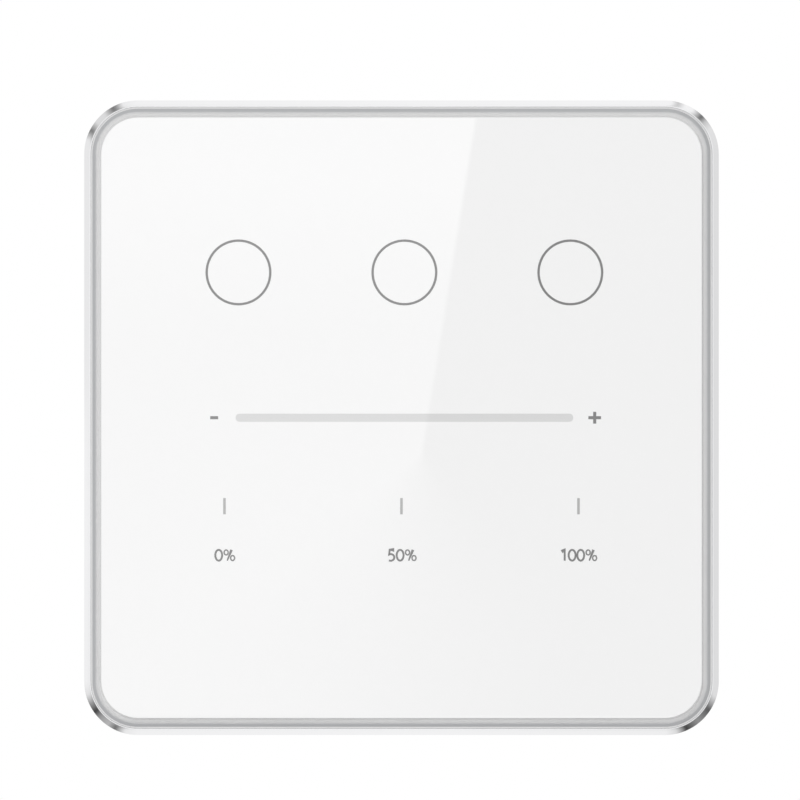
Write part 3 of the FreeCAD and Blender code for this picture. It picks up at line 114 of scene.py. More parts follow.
# Power board: a fibreglass-epoxy board under green solder mask. Its copper shows through the mask
# as paler planes and runs, and the sawn edges show the bare laminate. The power stage's parts are
# soldered to it. Its fields are about 9 mm wide, with runs 1.6 mm apart.
def circuit_board(name, field, pitch):
    """Mask over fields of copper, some whole and some parted into runs, and sawn edges."""
    material, tree, shader, place = new_surface(name, {"IOR": 1.52, "Roughness": 0.32,
                                                       "Coat Weight": 0.3,
                                                       "Coat Roughness": 0.15})
    flat = add_node(tree, "ShaderNodeMapping", {"Vector": place,
                                                "Rotation": (math.pi / 2, 0, 0)})
    fields = add_node(tree, "ShaderNodeTexVoronoi", {"Vector": flat.outputs["Vector"],
                                                     "Scale": 1 / field, "Randomness": 0.8},
                      voronoi_dimensions="2D", distance="CHEBYCHEV", feature="F1")
    kind = add_node(tree, "ShaderNodeSeparateColor", {"Color": fields.outputs["Color"]})
    axes = add_node(tree, "ShaderNodeSeparateXYZ", {"Vector": place})
    runs = []
    for axis in "XZ":
        count = add_node(tree, "ShaderNodeMath", {0: axes.outputs[axis], 1: 1 / pitch},
                         operation="MULTIPLY")
        part = add_node(tree, "ShaderNodeMath", {0: count.outputs["Value"]}, operation="FRACT")
        runs.append(add_node(tree, "ShaderNodeMath", {0: part.outputs["Value"], 1: 0.5},
                             operation="GREATER_THAN"))
    upright = add_node(tree, "ShaderNodeMath", {0: kind.outputs["Red"], 1: 0.5},
                       operation="GREATER_THAN")
    laid = add_node(tree, "ShaderNodeMix", {"Factor": upright.outputs["Value"],
                                            "A": runs[0].outputs["Value"],
                                            "B": runs[1].outputs["Value"]})
    plane = add_node(tree, "ShaderNodeMath", {0: kind.outputs["Green"], 1: 0.4},
                     operation="GREATER_THAN")
    copper = add_node(tree, "ShaderNodeMath", {0: laid.outputs["Result"],
                                               1: plane.outputs["Value"]}, operation="MAXIMUM")
    mask = add_node(tree, "ShaderNodeMix", {"Factor": copper.outputs["Value"],
                                            "A": linear("#0e5232"), "B": linear("#176b40")},
                    data_type="RGBA")
    turn = add_node(tree, "ShaderNodeNewGeometry")
    parts = add_node(tree, "ShaderNodeSeparateXYZ", {"Vector": turn.outputs["Normal"]})
    facing = add_node(tree, "ShaderNodeMath", {0: parts.outputs["Y"]}, operation="ABSOLUTE")
    edge = add_node(tree, "ShaderNodeMath", {0: facing.outputs["Value"], 1: 0.5},
                    operation="LESS_THAN")
    colour = add_node(tree, "ShaderNodeMix", {"Factor": edge.outputs["Value"],
                                              "A": mask.outputs["Result"],
                                              "B": linear("#b3a564")}, data_type="RGBA")
    step = add_node(tree, "ShaderNodeBump", {"Height": copper.outputs["Value"], "Strength": 0.5,
                                             "Distance": 0.00004})
    tree.links.new(colour.outputs["Result"], shader.inputs["Base Color"])
    tree.links.new(step.outputs["Normal"], shader.inputs["Normal"])
    return material


dress(circuit_board("green_masked_laminate_power", 0.009, 0.0016), "power_board")

# Plug and chip housings: black moulded nylon and epoxy, harder and finer in grain than the rear
# housing. The socket stands on the power board, the header and the chip on the touch board.
dress(moulded("black_nylon", "#1d1d1f", "#151516", 0.42, 0.00025, 0.00002), "header_socket",
      "board_header", "touch_chip")


# Transistors: black moulded epoxy bodies whose back ends are bare tinned copper tabs, screwed to
# the heat sink. Each is one CAD solid, so its finish changes at the depth where the tab starts.
def parted_by_depth(name, level, front, back):
    """A surface of two colours, metal shares and roughnesses, that change at a depth."""
    material, tree, shader, place = new_surface(name, {})
    parts = add_node(tree, "ShaderNodeSeparateXYZ", {"Vector": place})
    past = add_node(tree, "ShaderNodeMath", {0: parts.outputs["Y"], 1: level},
                    operation="GREATER_THAN")
    tint = add_node(tree, "ShaderNodeMix", {"Factor": past.outputs["Value"],
                                            "A": linear(front[0]), "B": linear(back[0])},
                    data_type="RGBA")
    tree.links.new(tint.outputs["Result"], shader.inputs["Base Color"])
    for socket, low, high in zip(("Metallic", "Roughness"), front[1:], back[1:]):
        share = add_node(tree, "ShaderNodeMapRange", {"Value": past.outputs["Value"],
                                                      "To Min": low, "To Max": high})
        tree.links.new(share.outputs["Result"], shader.inputs[socket])
    return material


tab_start = 0.0206
dress(parted_by_depth("moulded_epoxy_and_tinned_tab", tab_start, ("#19191b", 0.0, 0.45),
                      ("#c9c8c4", 1.0, 0.32)), "transistor_1", "transistor_2")


# Heat sink: a mill-finish aluminium plate, with fine lines along the way it was rolled. The real
# lines are about 0.05 mm apart and are drawn at 0.3 mm, to show.
def rolled_metal(name, pale, deep, roughness, along, line):
    """A metal with fine lines along one axis."""
    length = 25 * line
    material, tree, shader, place = new_surface(name, {"Metallic": 1.0})
    stretch = [1 / length if axis == along else 1 / line for axis in "xyz"]
    lines = add_node(tree, "ShaderNodeMapping", {"Vector": place, "Scale": stretch})
    streaks = add_node(tree, "ShaderNodeTexNoise", {"Vector": lines.outputs["Vector"],
                                                    "Scale": 1.0, "Detail": 3.0})
    tint = add_node(tree, "ShaderNodeMix", {"Factor": streaks.outputs["Fac"],
                                            "A": linear(pale), "B": linear(deep)},
                    data_type="RGBA")
    dull = add_node(tree, "ShaderNodeMapRange", {"Value": streaks.outputs["Fac"],
                                                 "To Min": roughness - 0.08,
                                                 "To Max": roughness + 0.1})
    tree.links.new(tint.outputs["Result"], shader.inputs["Base Color"])
    tree.links.new(dull.outputs["Result"], shader.inputs["Roughness"])
    return material


dress(rolled_metal("mill_finish_aluminium", "#d6d6d8", "#bcbdc0", 0.34, "x", 0.0003),
      "heat_sink_plate")


# Fasteners: steel screws, zinc plated in a barrel, which leaves a faint cool bloom in clouds of
# about 2 mm.
def plated_metal(name, pale, deep, roughness, bloom):
    """A plated metal: clouds of slightly different colour and gloss."""
    material, tree, shader, place = new_surface(name, {"Metallic": 1.0})
    clouds = add_node(tree, "ShaderNodeTexNoise", {"Vector": place, "Scale": 1 / bloom,
                                                   "Detail": 4.0})
    tint = add_node(tree, "ShaderNodeMix", {"Factor": clouds.outputs["Fac"], "A": linear(pale),
                                            "B": linear(deep)}, data_type="RGBA")
    dull = add_node(tree, "ShaderNodeMapRange", {"Value": clouds.outputs["Fac"],
                                                 "To Min": roughness - 0.07,
                                                 "To Max": roughness + 0.1})
    tree.links.new(tint.outputs["Result"], shader.inputs["Base Color"])
    tree.links.new(dull.outputs["Result"], shader.inputs["Roughness"])
    return material


dress(plated_metal("zinc_plated_steel", "#cfd3d6", "#b4b9bf", 0.28, 0.002),
      "transistor_screws", "base_screws", "panel_screws")

# Transformer: two pressed and fired ferrite halves, dark and slightly porous, closed round a
# winding that is wrapped in glossy yellow polyester tape. A wave texture of scale 70 repeats
# every 4.5 mm, the width of a lap.
tape_wave = 70.0
dress(moulded("sintered_ferrite", "#3a3b3d", "#2c2d2f", 0.6, 0.0003, 0.00003),
      "transformer_core")
tape, tree, shader, place = new_surface("polyester_winding_tape", {"IOR": 1.57,
                                                                   "Coat Weight": 0.4,
                                                                   "Coat Roughness": 0.08})
laps = add_node(tree, "ShaderNodeTexWave", {"Vector": place, "Scale": tape_wave,
                                            "Distortion": 0.4},
                bands_direction="Y", wave_profile="SAW")
tint = add_node(tree, "ShaderNodeMix", {"Factor": laps.outputs["Fac"], "A": linear("#e2b21e"),
                                        "B": linear("#c8980f")}, data_type="RGBA")
dull = add_node(tree, "ShaderNodeMapRange", {"Value": laps.outputs["Fac"], "To Min": 0.22,
                                             "To Max": 0.36})
fold = add_node(tree, "ShaderNodeBump", {"Height": laps.outputs["Fac"], "Strength": 0.5,
                                         "Distance": 0.00006})
tree.links.new(tint.outputs["Result"], shader.inputs["Base Color"])
tree.links.new(dull.outputs["Result"], shader.inputs["Roughness"])
tree.links.new(fold.outputs["Normal"], shader.inputs["Normal"])
dress(tape, "transformer_winding")

# Capacitor and varistor: an aluminium can in a shrunk dark sleeve, with its pressed top bare, and
# a disc dipped in blue epoxy. Both are soldered to the power board.
capacitor_top = 0.0238
dress(parted_by_depth("shrunk_sleeve_and_pressed_top", capacitor_top, ("#1c2434", 0.0, 0.3),
                      ("#c4c6c8", 1.0, 0.38)), "bulk_capacitor")
dress(moulded("dipped_epoxy", "#2c5f9e", "#234f8a", 0.38, 0.0012, 0.00008), "varistor")

# Fuse: a pale ceramic tube with a nickel cap pressed on each end, soldered to the power board.
# The tube shows bare for 6.4 mm between the caps.
fuse_middle, fuse_bare = -0.009, 0.0032
tube, tree, shader, place = new_surface("ceramic_tube_with_nickel_caps", {})
parts = add_node(tree, "ShaderNodeSeparateXYZ", {"Vector": place})
away = add_node(tree, "ShaderNodeMath", {0: parts.outputs["X"], 1: fuse_middle},
                operation="SUBTRACT")
reach = add_node(tree, "ShaderNodeMath", {0: away.outputs["Value"]}, operation="ABSOLUTE")
cap = add_node(tree, "ShaderNodeMath", {0: reach.outputs["Value"], 1: fuse_bare},
               operation="GREATER_THAN")
tint = add_node(tree, "ShaderNodeMix", {"Factor": cap.outputs["Value"], "A": linear("#d9d4c4"),
                                        "B": linear("#c9c6bd")}, data_type="RGBA")
dull = add_node(tree, "ShaderNodeMapRange", {"Value": cap.outputs["Value"], "To Min": 0.45,
                                             "To Max": 0.22})
tree.links.new(tint.outputs["Result"], shader.inputs["Base Color"])
tree.links.new(cap.outputs["Value"], shader.inputs["Metallic"])
tree.links.new(dull.outputs["Result"], shader.inputs["Roughness"])
dress(tube, "fuse")

# Choke: a ring core wound with one layer of 0.8 mm enamelled copper wire, whose lacquer gives it
# a deep glossy red. The lacquer's clouds are about 1.1 mm wide.
choke_turns, choke_wire, clouds_per_metre = 30, 0.0008, 900.0


def wound_choke():
    """The wire as one closed tube that winds round the ring core, and the core inside it."""
    turn_steps, wire_sides, ring_steps, core_sides, nudge = 16, 8, 48, 16, 0.0001
    low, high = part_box("choke_coil")
    centre, outer, half = (low + high) / 2, (high.x - low.x) / 2, (high.y - low.y) / 2
    middle, reach = outer - half, half - choke_wire / 2

    def on_core(about_ring, about_core, radius):
        out = middle + radius * math.cos(about_core)
        return Vector((out * math.cos(about_ring), radius * math.sin(about_core),
                       out * math.sin(about_ring)))

    mesh = bmesh.new()
    count = choke_turns * turn_steps
    loops = []
    for step in range(count):
        about_ring = 2 * math.pi * step / count
        about_core = choke_turns * about_ring
        here = on_core(about_ring, about_core, reach)
        after = on_core(about_ring + nudge, about_core + nudge * choke_turns, reach)
        along = (after - here).normalized()
        out = Vector((math.cos(about_core) * math.cos(about_ring), math.sin(about_core),
                      math.cos(about_core) * math.sin(about_ring)))
        side = along.cross(out).normalized()
        loops.append([mesh.verts.new(centre + here + choke_wire / 2
                                     * (math.cos(turn) * out + math.sin(turn) * side))
                      for turn in (2 * math.pi * corner / wire_sides
                                   for corner in range(wire_sides))])
    join_loops(mesh, loops, ends="joined")
    core = [[mesh.verts.new(centre + on_core(2 * math.pi * step / ring_steps,
                                             2 * math.pi * corner / core_sides,
                                             reach - choke_wire / 2))
             for corner in range(core_sides)] for step in range(ring_steps)]
    join_loops(mesh, core, ends="joined")
    return mesh


def join_loops(mesh, loops, ends):
    """Skin a row of vertex loops, whose ends are joined to each other or capped."""
    last = len(loops) if ends == "joined" else len(loops) - 1
    for number in range(last):
        here, after = loops[number], loops[(number + 1) % len(loops)]
        for corner in range(len(here)):
            following = (corner + 1) % len(here)
            mesh.faces.new((here[corner], here[following], after[following], after[corner]))
    if ends == "capped":
        mesh.faces.new(loops[0][::-1])
        mesh.faces.new(loops[-1])


def new_piece(name, mesh, material, body, smooth=35):
    """An object from mesh data, smooth but for its sharp edges, that rides on a body."""
    bmesh.ops.recalc_face_normals(mesh, faces=mesh.faces)
    data = bpy.data.meshes.new(name)
    mesh.to_mesh(data)
    mesh.free()
    data.shade_smooth()
    data.set_sharp_from_angle(angle=math.radians(smooth))
    data.materials.append(material)
    piece = bpy.data.objects.new(name, data)
    bpy.context.scene.collection.objects.link(piece)
    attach(piece, body)
    return piece


enamel, tree, shader, place = new_surface("enamelled_copper_wire", {"Metallic": 0.75,
                                                                    "Roughness": 0.26,
                                                                    "Coat Weight": 0.8,
                                                                    "Coat Roughness": 0.1})
clouds = add_node(tree, "ShaderNodeTexNoise", {"Vector": place, "Scale": clouds_per_metre})
tint = add_node(tree, "ShaderNodeMix", {"Factor": clouds.outputs["Fac"],
                                        "A": linear("#b2531f"), "B": linear("#8c3c17")},
                data_type="RGBA")
tree.links.new(tint.outputs["Result"], shader.inputs["Base Color"])
choke = new_piece("choke_winding", wound_choke(), enamel, "root")
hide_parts("choke_coil")

# Terminal block: grey glass-filled nylon with a satin face. In each of its five cells a bent
# contact bar of nickel-plated brass sits in a slot, and a pressed steel cage, yellow zinc plated,
# rises under it when its screw is turned.
dress(moulded("glass_filled_nylon", "#6d7074", "#62656a", 0.46, 0.0003, 0.00003),
      "terminal_block")
dress(rolled_metal("nickel_plated_brass", "#d8cba4", "#c2b286", 0.27, "y", 0.00025),
      *[f"contact_bar_{number}" for number in range(1, 6)])
dress(plated_metal("yellow_zinc_plated_cage", "#d4d0bd", "#b8b49e", 0.3, 0.0015),
      *[f"clamp_cage_{number}" for number in range(1, 6)])
dress(plated_metal("zinc_plated_screw", "#d2d4d6", "#b6babe", 0.24, 0.001),
      *[f"terminal_screw_{number}" for number in range(1, 6)])

# Mounting yoke and base frame: hot-dip galvanised sheet steel, stamped flat, whose zinc froze in
# spangles of about 2.4 mm, and a pale grey moulded frame whose stakes are melted over the yoke.
spangles_per_metre = 420.0
galvanised, tree, shader, place = new_surface("galvanised_sheet_steel", {"Metallic": 1.0})
spangle = add_node(tree, "ShaderNodeTexVoronoi", {"Vector": place,
                                                  "Scale": spangles_per_metre}, feature="F1")
grey = add_node(tree, "ShaderNodeSeparateColor", {"Color": spangle.outputs["Color"]})
tint = add_node(tree, "ShaderNodeMix", {"Factor": grey.outputs["Red"], "A": linear("#c3c7c9"),
                                        "B": linear("#b4b9bc")}, data_type="RGBA")
dull = add_node(tree, "ShaderNodeMapRange", {"Value": grey.outputs["Green"], "To Min": 0.36,
                                             "To Max": 0.46})
tree.links.new(tint.outputs["Result"], shader.inputs["Base Color"])
tree.links.new(dull.outputs["Result"], shader.inputs["Roughness"])
dress(galvanised, "mounting_yoke")
dress(moulded("pale_grey_abs", "#d6d6d4", "#cdcdcb", 0.44, 0.0004, 0.00003), "base_frame")

# Panel carrier and back cover: glossy white ABS in front, where it shows at the plate's sides and
# through the glass's rim, and matt grey behind. The carrier's white is greyed as painted shade,
# for the shaded band that shows through the glass's rim. The cover is screwed to the carrier's
# posts through the touch board.
dress(moulded("glossy_abs_white_greyed_as_painted_shade", "#dcdcdc", "#d8d8d8", 0.24, 0.0006, 0.00001),
      "panel_carrier")
dress(moulded("matt_grey_abs", "#cfcfcd", "#c6c6c4", 0.5, 0.0004, 0.00004), "panel_back_cover")

# Touch board: the same laminate as the power board, with finer runs. It carries a radio module
# under a tinned steel can, white lamps behind the glass, and the gilt pins of the plug.
dress(circuit_board("green_masked_laminate_touch", 0.006, 0.0009), "touch_board",
      "radio_board")
dress(plated_metal("tinned_steel_can", "#d3d2cc", "#bdbcb6", 0.3, 0.003), "radio_shield")
dress(plated_metal("gold_plated_pin", "#e6c37a", "#d3ab5c", 0.2, 0.001), "header_pins")
dress(moulded("white_lamp_resin", "#f3edd2", "#e9e0bd", 0.3, 0.0004, 0.00001),
      "indicator_leds")

# Chip resistors and capacitors: 1.6 mm ceramic blocks with tinned ends, reflow soldered in rows
# on the touch board's back, clear of the back cover and of the base frame. Each row is given by
# its first middle, its step along X or Z and its count.
chip_length, chip_width, chip_height, chip_end = 0.0016, 0.0008, 0.00045, 0.0003
chip_edge, end_rise, end_lap = 0.00005, 0.00003, 0.00001
solder_run, solder_foot = 0.0003, 0.00002
solder_slope = [(0.0, 0.8), (0.3, 0.32)]
chip_rows = [(-0.0272, 0.0300, 0.0026, 0.0, 6), (0.0142, 0.0300, 0.0026, 0.0, 6),
             (-0.0272, -0.0300, 0.0026, 0.0, 5), (-0.0286, 0.0105, 0.0, 0.0019, 8),
             (0.0286, 0.0105, 0.0, 0.0019, 8), (0.0286, -0.0215, 0.0, 0.0019, 6)]
board_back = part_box("touch_board")[1].y


def chip_block(mesh, middle, reach, height):
    """A block on the board with its upper edges broken, by its half sizes."""
    levels = ((0.0, solder_foot), (0.0, height - chip_edge), (chip_edge, height))
    loops = [[mesh.verts.new((middle.x + side * (reach[0] - inset), board_back + rise,
                              middle.y + up * (reach[1] - inset)))
              for side, up in ((-1, -1), (1, -1), (1, 1), (-1, 1))] for inset, rise in levels]
    join_loops(mesh, loops, ends="capped")


def solder_fillet(mesh, middle, direction, across):
    """The hollow slope of solder from a chip's end down to its pad."""
    points = ([(0.0, solder_foot)]
              + [(out * solder_run, rise * chip_height) for out, rise in solder_slope]
              + [(solder_run, solder_foot)])
    loops = []
    for side in (-1, 1):
        foot = middle + across * (side * chip_width / 2)
        spots = [(foot + direction * out, rise) for out, rise in points]
        loops.append([mesh.verts.new((spot.x, board_back + rise, spot.y))
                      for spot, rise in spots])
    join_loops(mesh, loops, ends="capped")


chips, ends = bmesh.new(), bmesh.new()
for x, z, step_x, step_z, count in chip_rows:
    along = Vector((0.0, 1.0)) if step_x else Vector((1.0, 0.0))
    across = Vector((along.y, along.x))
    for number in range(count):
        middle = Vector((x + step_x * number, z + step_z * number))
        chip_block(chips, middle, along * (chip_length / 2 - chip_end) + across * chip_width / 2,
                   chip_height - end_rise)
        for side in (-1, 1):
            end = along * side
            tip = middle + end * (chip_length - chip_end) / 2
            chip_block(ends, tip, along * chip_end / 2 + across * (chip_width / 2 + end_lap),
                       chip_height)
            solder_fillet(ends, middle + end * chip_length / 2, end, across)
ceramic = moulded("glazed_chip_ceramic", "#1b1b1d", "#26211d", 0.3, 0.0003, 0.00001)
tinned = plated_metal("reflowed_solder", "#d6d6d3", "#bfbfbb", 0.28, 0.0008)
new_piece("touch_board_chips", chips, ceramic, "front_panel", smooth=20)
new_piece("touch_board_solder", ends, tinned, "front_panel", smooth=40)

# Touch pads: black carbon-filled foam, cut from sheet and held between the keys' print and the
# touch board. Its open cells are about 0.45 mm wide.
cells_per_metre = 2200.0
foam, tree, shader, place = new_surface("conductive_foam", {"Roughness": 0.9,
                                                            "Sheen Weight": 0.2})
cells = add_node(tree, "ShaderNodeTexVoronoi", {"Vector": place, "Scale": cells_per_metre})
tint = add_node(tree, "ShaderNodeMix", {"Factor": cells.outputs["Distance"],
                                        "A": linear("#1a1a1b"), "B": linear("#3a3a3c")},
                data_type="RGBA")
pores = add_node(tree, "ShaderNodeBump", {"Height": cells.outputs["Distance"],
                                          "Strength": 0.8, "Distance": 0.0002})
tree.links.new(tint.outputs["Result"], shader.inputs["Base Color"])
tree.links.new(pores.outputs["Normal"], shader.inputs["Normal"])
dress(foam, "touch_pad_1", "touch_pad_2", "touch_pad_3")

# Slider film: amber polyimide against the back of the print, with bare copper electrodes etched
# on it 3 mm apart, which a wave texture of scale 105 draws.
electrode_wave, electrode_share = 105.0, 0.3
film, tree, shader, place = new_surface("polyimide_film_with_electrodes", {"IOR": 1.7,
                                                                           "Roughness": 0.25})
rows = add_node(tree, "ShaderNodeTexWave", {"Vector": place, "Scale": electrode_wave,
                                            "Distortion": 0.0},
                bands_direction="X", wave_profile="TRI")
pads = add_node(tree, "ShaderNodeMath", {0: rows.outputs["Fac"], 1: electrode_share},
                operation="GREATER_THAN")
tint = add_node(tree, "ShaderNodeMix", {"Factor": pads.outputs["Value"],
                                        "A": linear("#8f5a14"), "B": linear("#c77f2c")},
                data_type="RGBA")
tree.links.new(tint.outputs["Result"], shader.inputs["Base Color"])
tree.links.new(pads.outputs["Value"], shader.inputs["Metallic"])
dress(film, "slider_sensor_film")

# Light guides: clear acrylic, moulded, with a lightly frosted face that spreads the lamps' light
# behind the keys and the slider. The frost's grains are about 0.7 mm wide.
grains_per_metre = 1500.0
guide, tree, shader, place = new_surface("clear_acrylic_guide", {"Base Color": linear("#f4f6f6"),
                                                                 "IOR": 1.49,
                                                                 "Transmission Weight": 0.6})
frost = add_node(tree, "ShaderNodeTexNoise", {"Vector": place, "Scale": grains_per_metre})
dull = add_node(tree, "ShaderNodeMapRange", {"Value": frost.outputs["Fac"], "To Min": 0.1,
                                             "To Max": 0.3})
tree.links.new(dull.outputs["Result"], shader.inputs["Roughness"])
dress(guide, "ring_light_guide_1", "ring_light_guide_2", "ring_light_guide_3",
      "slider_light_guide")


# Adhesive sheet and back print: a milky acrylic foam tape, and a white ceramic ink fired on the
# back of the glass, with the keys, the level bar, the signs and the ticks let into it in greys.
# The ink's mottle is about a third of a millimetre wide, from the screen's mesh.
def fired_ink(name, pale, deep):
    """A fired ink: even, slightly mottled where it was screened on."""
    mottles_per_metre = 3000.0
    material, tree, shader, place = new_surface(name, {"Roughness": 0.6, "IOR": 1.5,
                                                       "Specular IOR Level": 0.0})
    mottle = add_node(tree, "ShaderNodeTexNoise", {"Vector": place, "Scale": mottles_per_metre,
                                                   "Detail": 2.0})
    tint = add_node(tree, "ShaderNodeMix", {"Factor": mottle.outputs["Fac"], "A": linear(pale),
                                            "B": linear(deep)}, data_type="RGBA")
    tree.links.new(tint.outputs["Result"], shader.inputs["Base Color"])
    return material


# The tape's grey is painted shade, darkened for the shaded band between the print's edge and the
# bezel.
dress(moulded("acrylic_foam_tape_greyed_as_painted_shade", "#d0d0d1", "#c8c8ca", 0.6, 0.0006, 0.00003),
      "adhesive_sheet")
dress(fired_ink("white_ceramic_ink", "#f6f6f6", "#f4f4f4"), "back_print")
grey_ink = fired_ink("grey_ceramic_ink", "#8a8a8a", "#868686")
dress(grey_ink, "ring_marks", "sign_marks")
dress(fired_ink("silver_grey_ceramic_ink", "#b6b6b6", "#b3b3b3"), "tick_marks")
dress(fired_ink("pale_grey_ceramic_ink", "#dbdbdb", "#d9d9d9"), "slider_mark")

# Level labels: 0%, 50% and 100% in the same grey ink as the keys, screened on the glass in even
# strokes with round letter shapes. Each letter is an advance and its strokes, drawn by their
# middle lines in parts of the letter's height.
label_height, label_stroke, sign_stroke = 0.00146, 0.00026, 0.00018
label_depth, label_thickness = -0.00807, 0.00003
label_level = -0.01865
label_places = [("label_low", "0%", -0.02392), ("label_middle", "50%", 0.00010),
                ("label_high", "100%", 0.02408)]


def bow(x, z, width, height, start, end, steps):
    """Part of an oval between two angles in degrees, by its middle and its size."""
    angles = [math.radians(start + (end - start) * step / steps) for step in range(steps + 1)]
    return [(x + width / 2 * math.cos(angle), z + height / 2 * math.sin(angle))
            for angle in angles]


def oval(x, z, width, height):
    """The points of a closed oval."""
    return bow(x, z, width, height, 0, 360, 28)[:-1]


letters = {
    "0": (0.80, [(oval(0.33, 0.5, 0.64, 1.0), True, label_stroke)]),
    "1": (0.69, [([(0.05, 0.82), (0.33, 1.0), (0.33, 0.0)], False, label_stroke)]),
    "5": (0.79, [([(0.57, 1.0), (0.15, 1.0), (0.10, 0.56)]
                  + bow(0.24, 0.3, 0.68, 0.62, 100, -118, 16), False, label_stroke)]),
    "%": (1.04, [(oval(0.22, 0.76, 0.37, 0.46), True, sign_stroke),
                 (oval(0.82, 0.24, 0.37, 0.46), True, sign_stroke),
                 ([(0.72, 1.0), (0.32, 0.0)], False, sign_stroke)]),
}


def ribbon(mesh, points, closed, width):
    """A flat stroke along points, with mitred turns, as a thin solid."""
    count, front, back = len(points), label_depth, label_depth + label_thickness
    loops = []
    for number, point in enumerate(points):
        before = points[number - 1] if closed or number else point
        after = points[(number + 1) % count] if closed or number < count - 1 else point
        into, out = Vector(point) - Vector(before), Vector(after) - Vector(point)
        into, out = (into or out).normalized(), (out or into).normalized()
        across = Vector((-(into + out).y, (into + out).x)).normalized()
        reach = width / 2 / max(across.dot(Vector((-into.y, into.x))), 0.5)
        left, right = Vector(point) + across * reach, Vector(point) - across * reach
        loops.append([mesh.verts.new((spot.x, depth, spot.y)) for spot, depth in
                      ((left, front), (right, front), (right, back), (left, back))])
    join_loops(mesh, loops, ends="joined" if closed else "capped")


def label(text, middle):
    """One label, centred on a place along X."""
    mesh = bmesh.new()
    start = middle - sum(letters[letter][0] for letter in text) * label_height / 2
    for letter in text:
        advance, strokes = letters[letter]
        for points, closed, width in strokes:
            ribbon(mesh, [(start + x * label_height, label_level + (z - 0.5) * label_height)
                          for x, z in points], closed, width)
        start += advance * label_height
    return mesh


for name, text, middle in label_places:
    new_piece(name, label(text, middle), grey_ink, "front_panel", smooth=20)

# Bezel: a bright chrome-plated frame round the glass, moulded in ABS and hooked behind the
# carrier's step by its lip. Its outer edge is rolled over, and its inner edge stands 0.4 mm behind
# the glass's face. The plating's haze is in clouds of 2.5 mm.
plate_width, plate_corner, bezel_wall, bezel_roll = 0.086, 0.0073, 0.00095, 0.00082
bezel_front, bezel_back, bezel_arris, haze_per_metre = -0.01065, -0.005, 0.00006, 400.0
roll_steps, corner_steps = 12, 20


def rounded_square(width, radius):
    """The points of a square with round corners, anticlockwise from the lower right corner."""
    reach = width / 2 - radius
    points = []
    for side, rise, start in ((1, -1, -90), (1, 1, 0), (-1, 1, 90), (-1, -1, 180)):
        for step in range(corner_steps + 1):
            angle = math.radians(start + 90 * step / corner_steps)
            points.append((side * reach + radius * math.cos(angle),
                           rise * reach + radius * math.sin(angle)))
    return points


def square_rings(rings):
    """A mesh and its loops from rings, each a width, a corner radius and a depth."""
    mesh = bmesh.new()
    return mesh, [[mesh.verts.new((x, depth, z)) for x, z in rounded_square(width, radius)]
                  for width, radius, depth in rings]


def bezel_rings():
    """Round the bezel's profile: up its rolled outer edge, over its flat, and down inside."""
    rings = [(plate_width, plate_corner, bezel_back)]
    for step in range(roll_steps + 1):
        angle = math.radians(90 * step / roll_steps)
        inset = bezel_roll * (1 - math.cos(angle))
        rings.append((plate_width - 2 * inset, plate_corner - inset,
                      bezel_front + bezel_roll * (1 - math.sin(angle))))
    inner, inner_corner = plate_width - 2 * bezel_wall, plate_corner - bezel_wall
    for inset, depth in ((-bezel_arris, bezel_front), (0.0, bezel_front + bezel_arris),
                         (0.0, bezel_back)):
        rings.append((inner - 2 * inset, inner_corner - inset, depth))
    return rings


mesh, loops = square_rings(bezel_rings())
join_loops(mesh, loops, ends="joined")
chrome, tree, shader, place = new_surface("chrome_plated_abs", {"Metallic": 1.0,
                                                                "Base Color": linear("#f8f8f9")})
haze = add_node(tree, "ShaderNodeTexNoise", {"Vector": place, "Scale": haze_per_metre,
                                             "Detail": 3.0})
dull = add_node(tree, "ShaderNodeMapRange", {"Value": haze.outputs["Fac"], "To Min": 0.05,
                                             "To Max": 0.12})
tree.links.new(dull.outputs["Result"], shader.inputs["Roughness"])
bezel = new_piece("bezel_ring", mesh, chrome, "front_panel")
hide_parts("bezel_frame")
bezel.visible_diffuse = bezel.visible_shadow = False

# Glass: 3 mm tempered soda-lime glass, bonded to its print so that no air shows between them. Its
# face is polished and edged with a curved bevel, which is lapped less finely and left as ground
# where it is steep, in an opaque grey that is partly the ground finish and partly painted shade:
# the dark shadow line along the gap to the bezel. The polish's smears are about 17 mm wide.
glass_width, glass_corner, glass_front = 0.0837, 0.00615, -0.01105
glass_back, bevel_width, bevel_depth, glass_arris = -0.00802, 0.0012, 0.00045, 0.0002
bevel_steps, face_inset, smears_per_metre = 12, 0.0001, 60.0


def glass_rings():
    """Round the glass from its back to its face."""
    rings = [(glass_width - 2 * glass_arris, glass_corner - glass_arris, glass_back),
             (glass_width, glass_corner, glass_back - glass_arris)]
    for step in range(bevel_steps + 1):
        angle = math.radians(90 * step / bevel_steps)
        inset = bevel_width * (1 - math.cos(angle))
        rings.append((glass_width - 2 * inset, glass_corner - inset,
                      glass_front + bevel_depth * (1 - math.sin(angle))))
    inset = bevel_width + face_inset
    rings.append((glass_width - 2 * inset, glass_corner - inset, glass_front))
    return rings


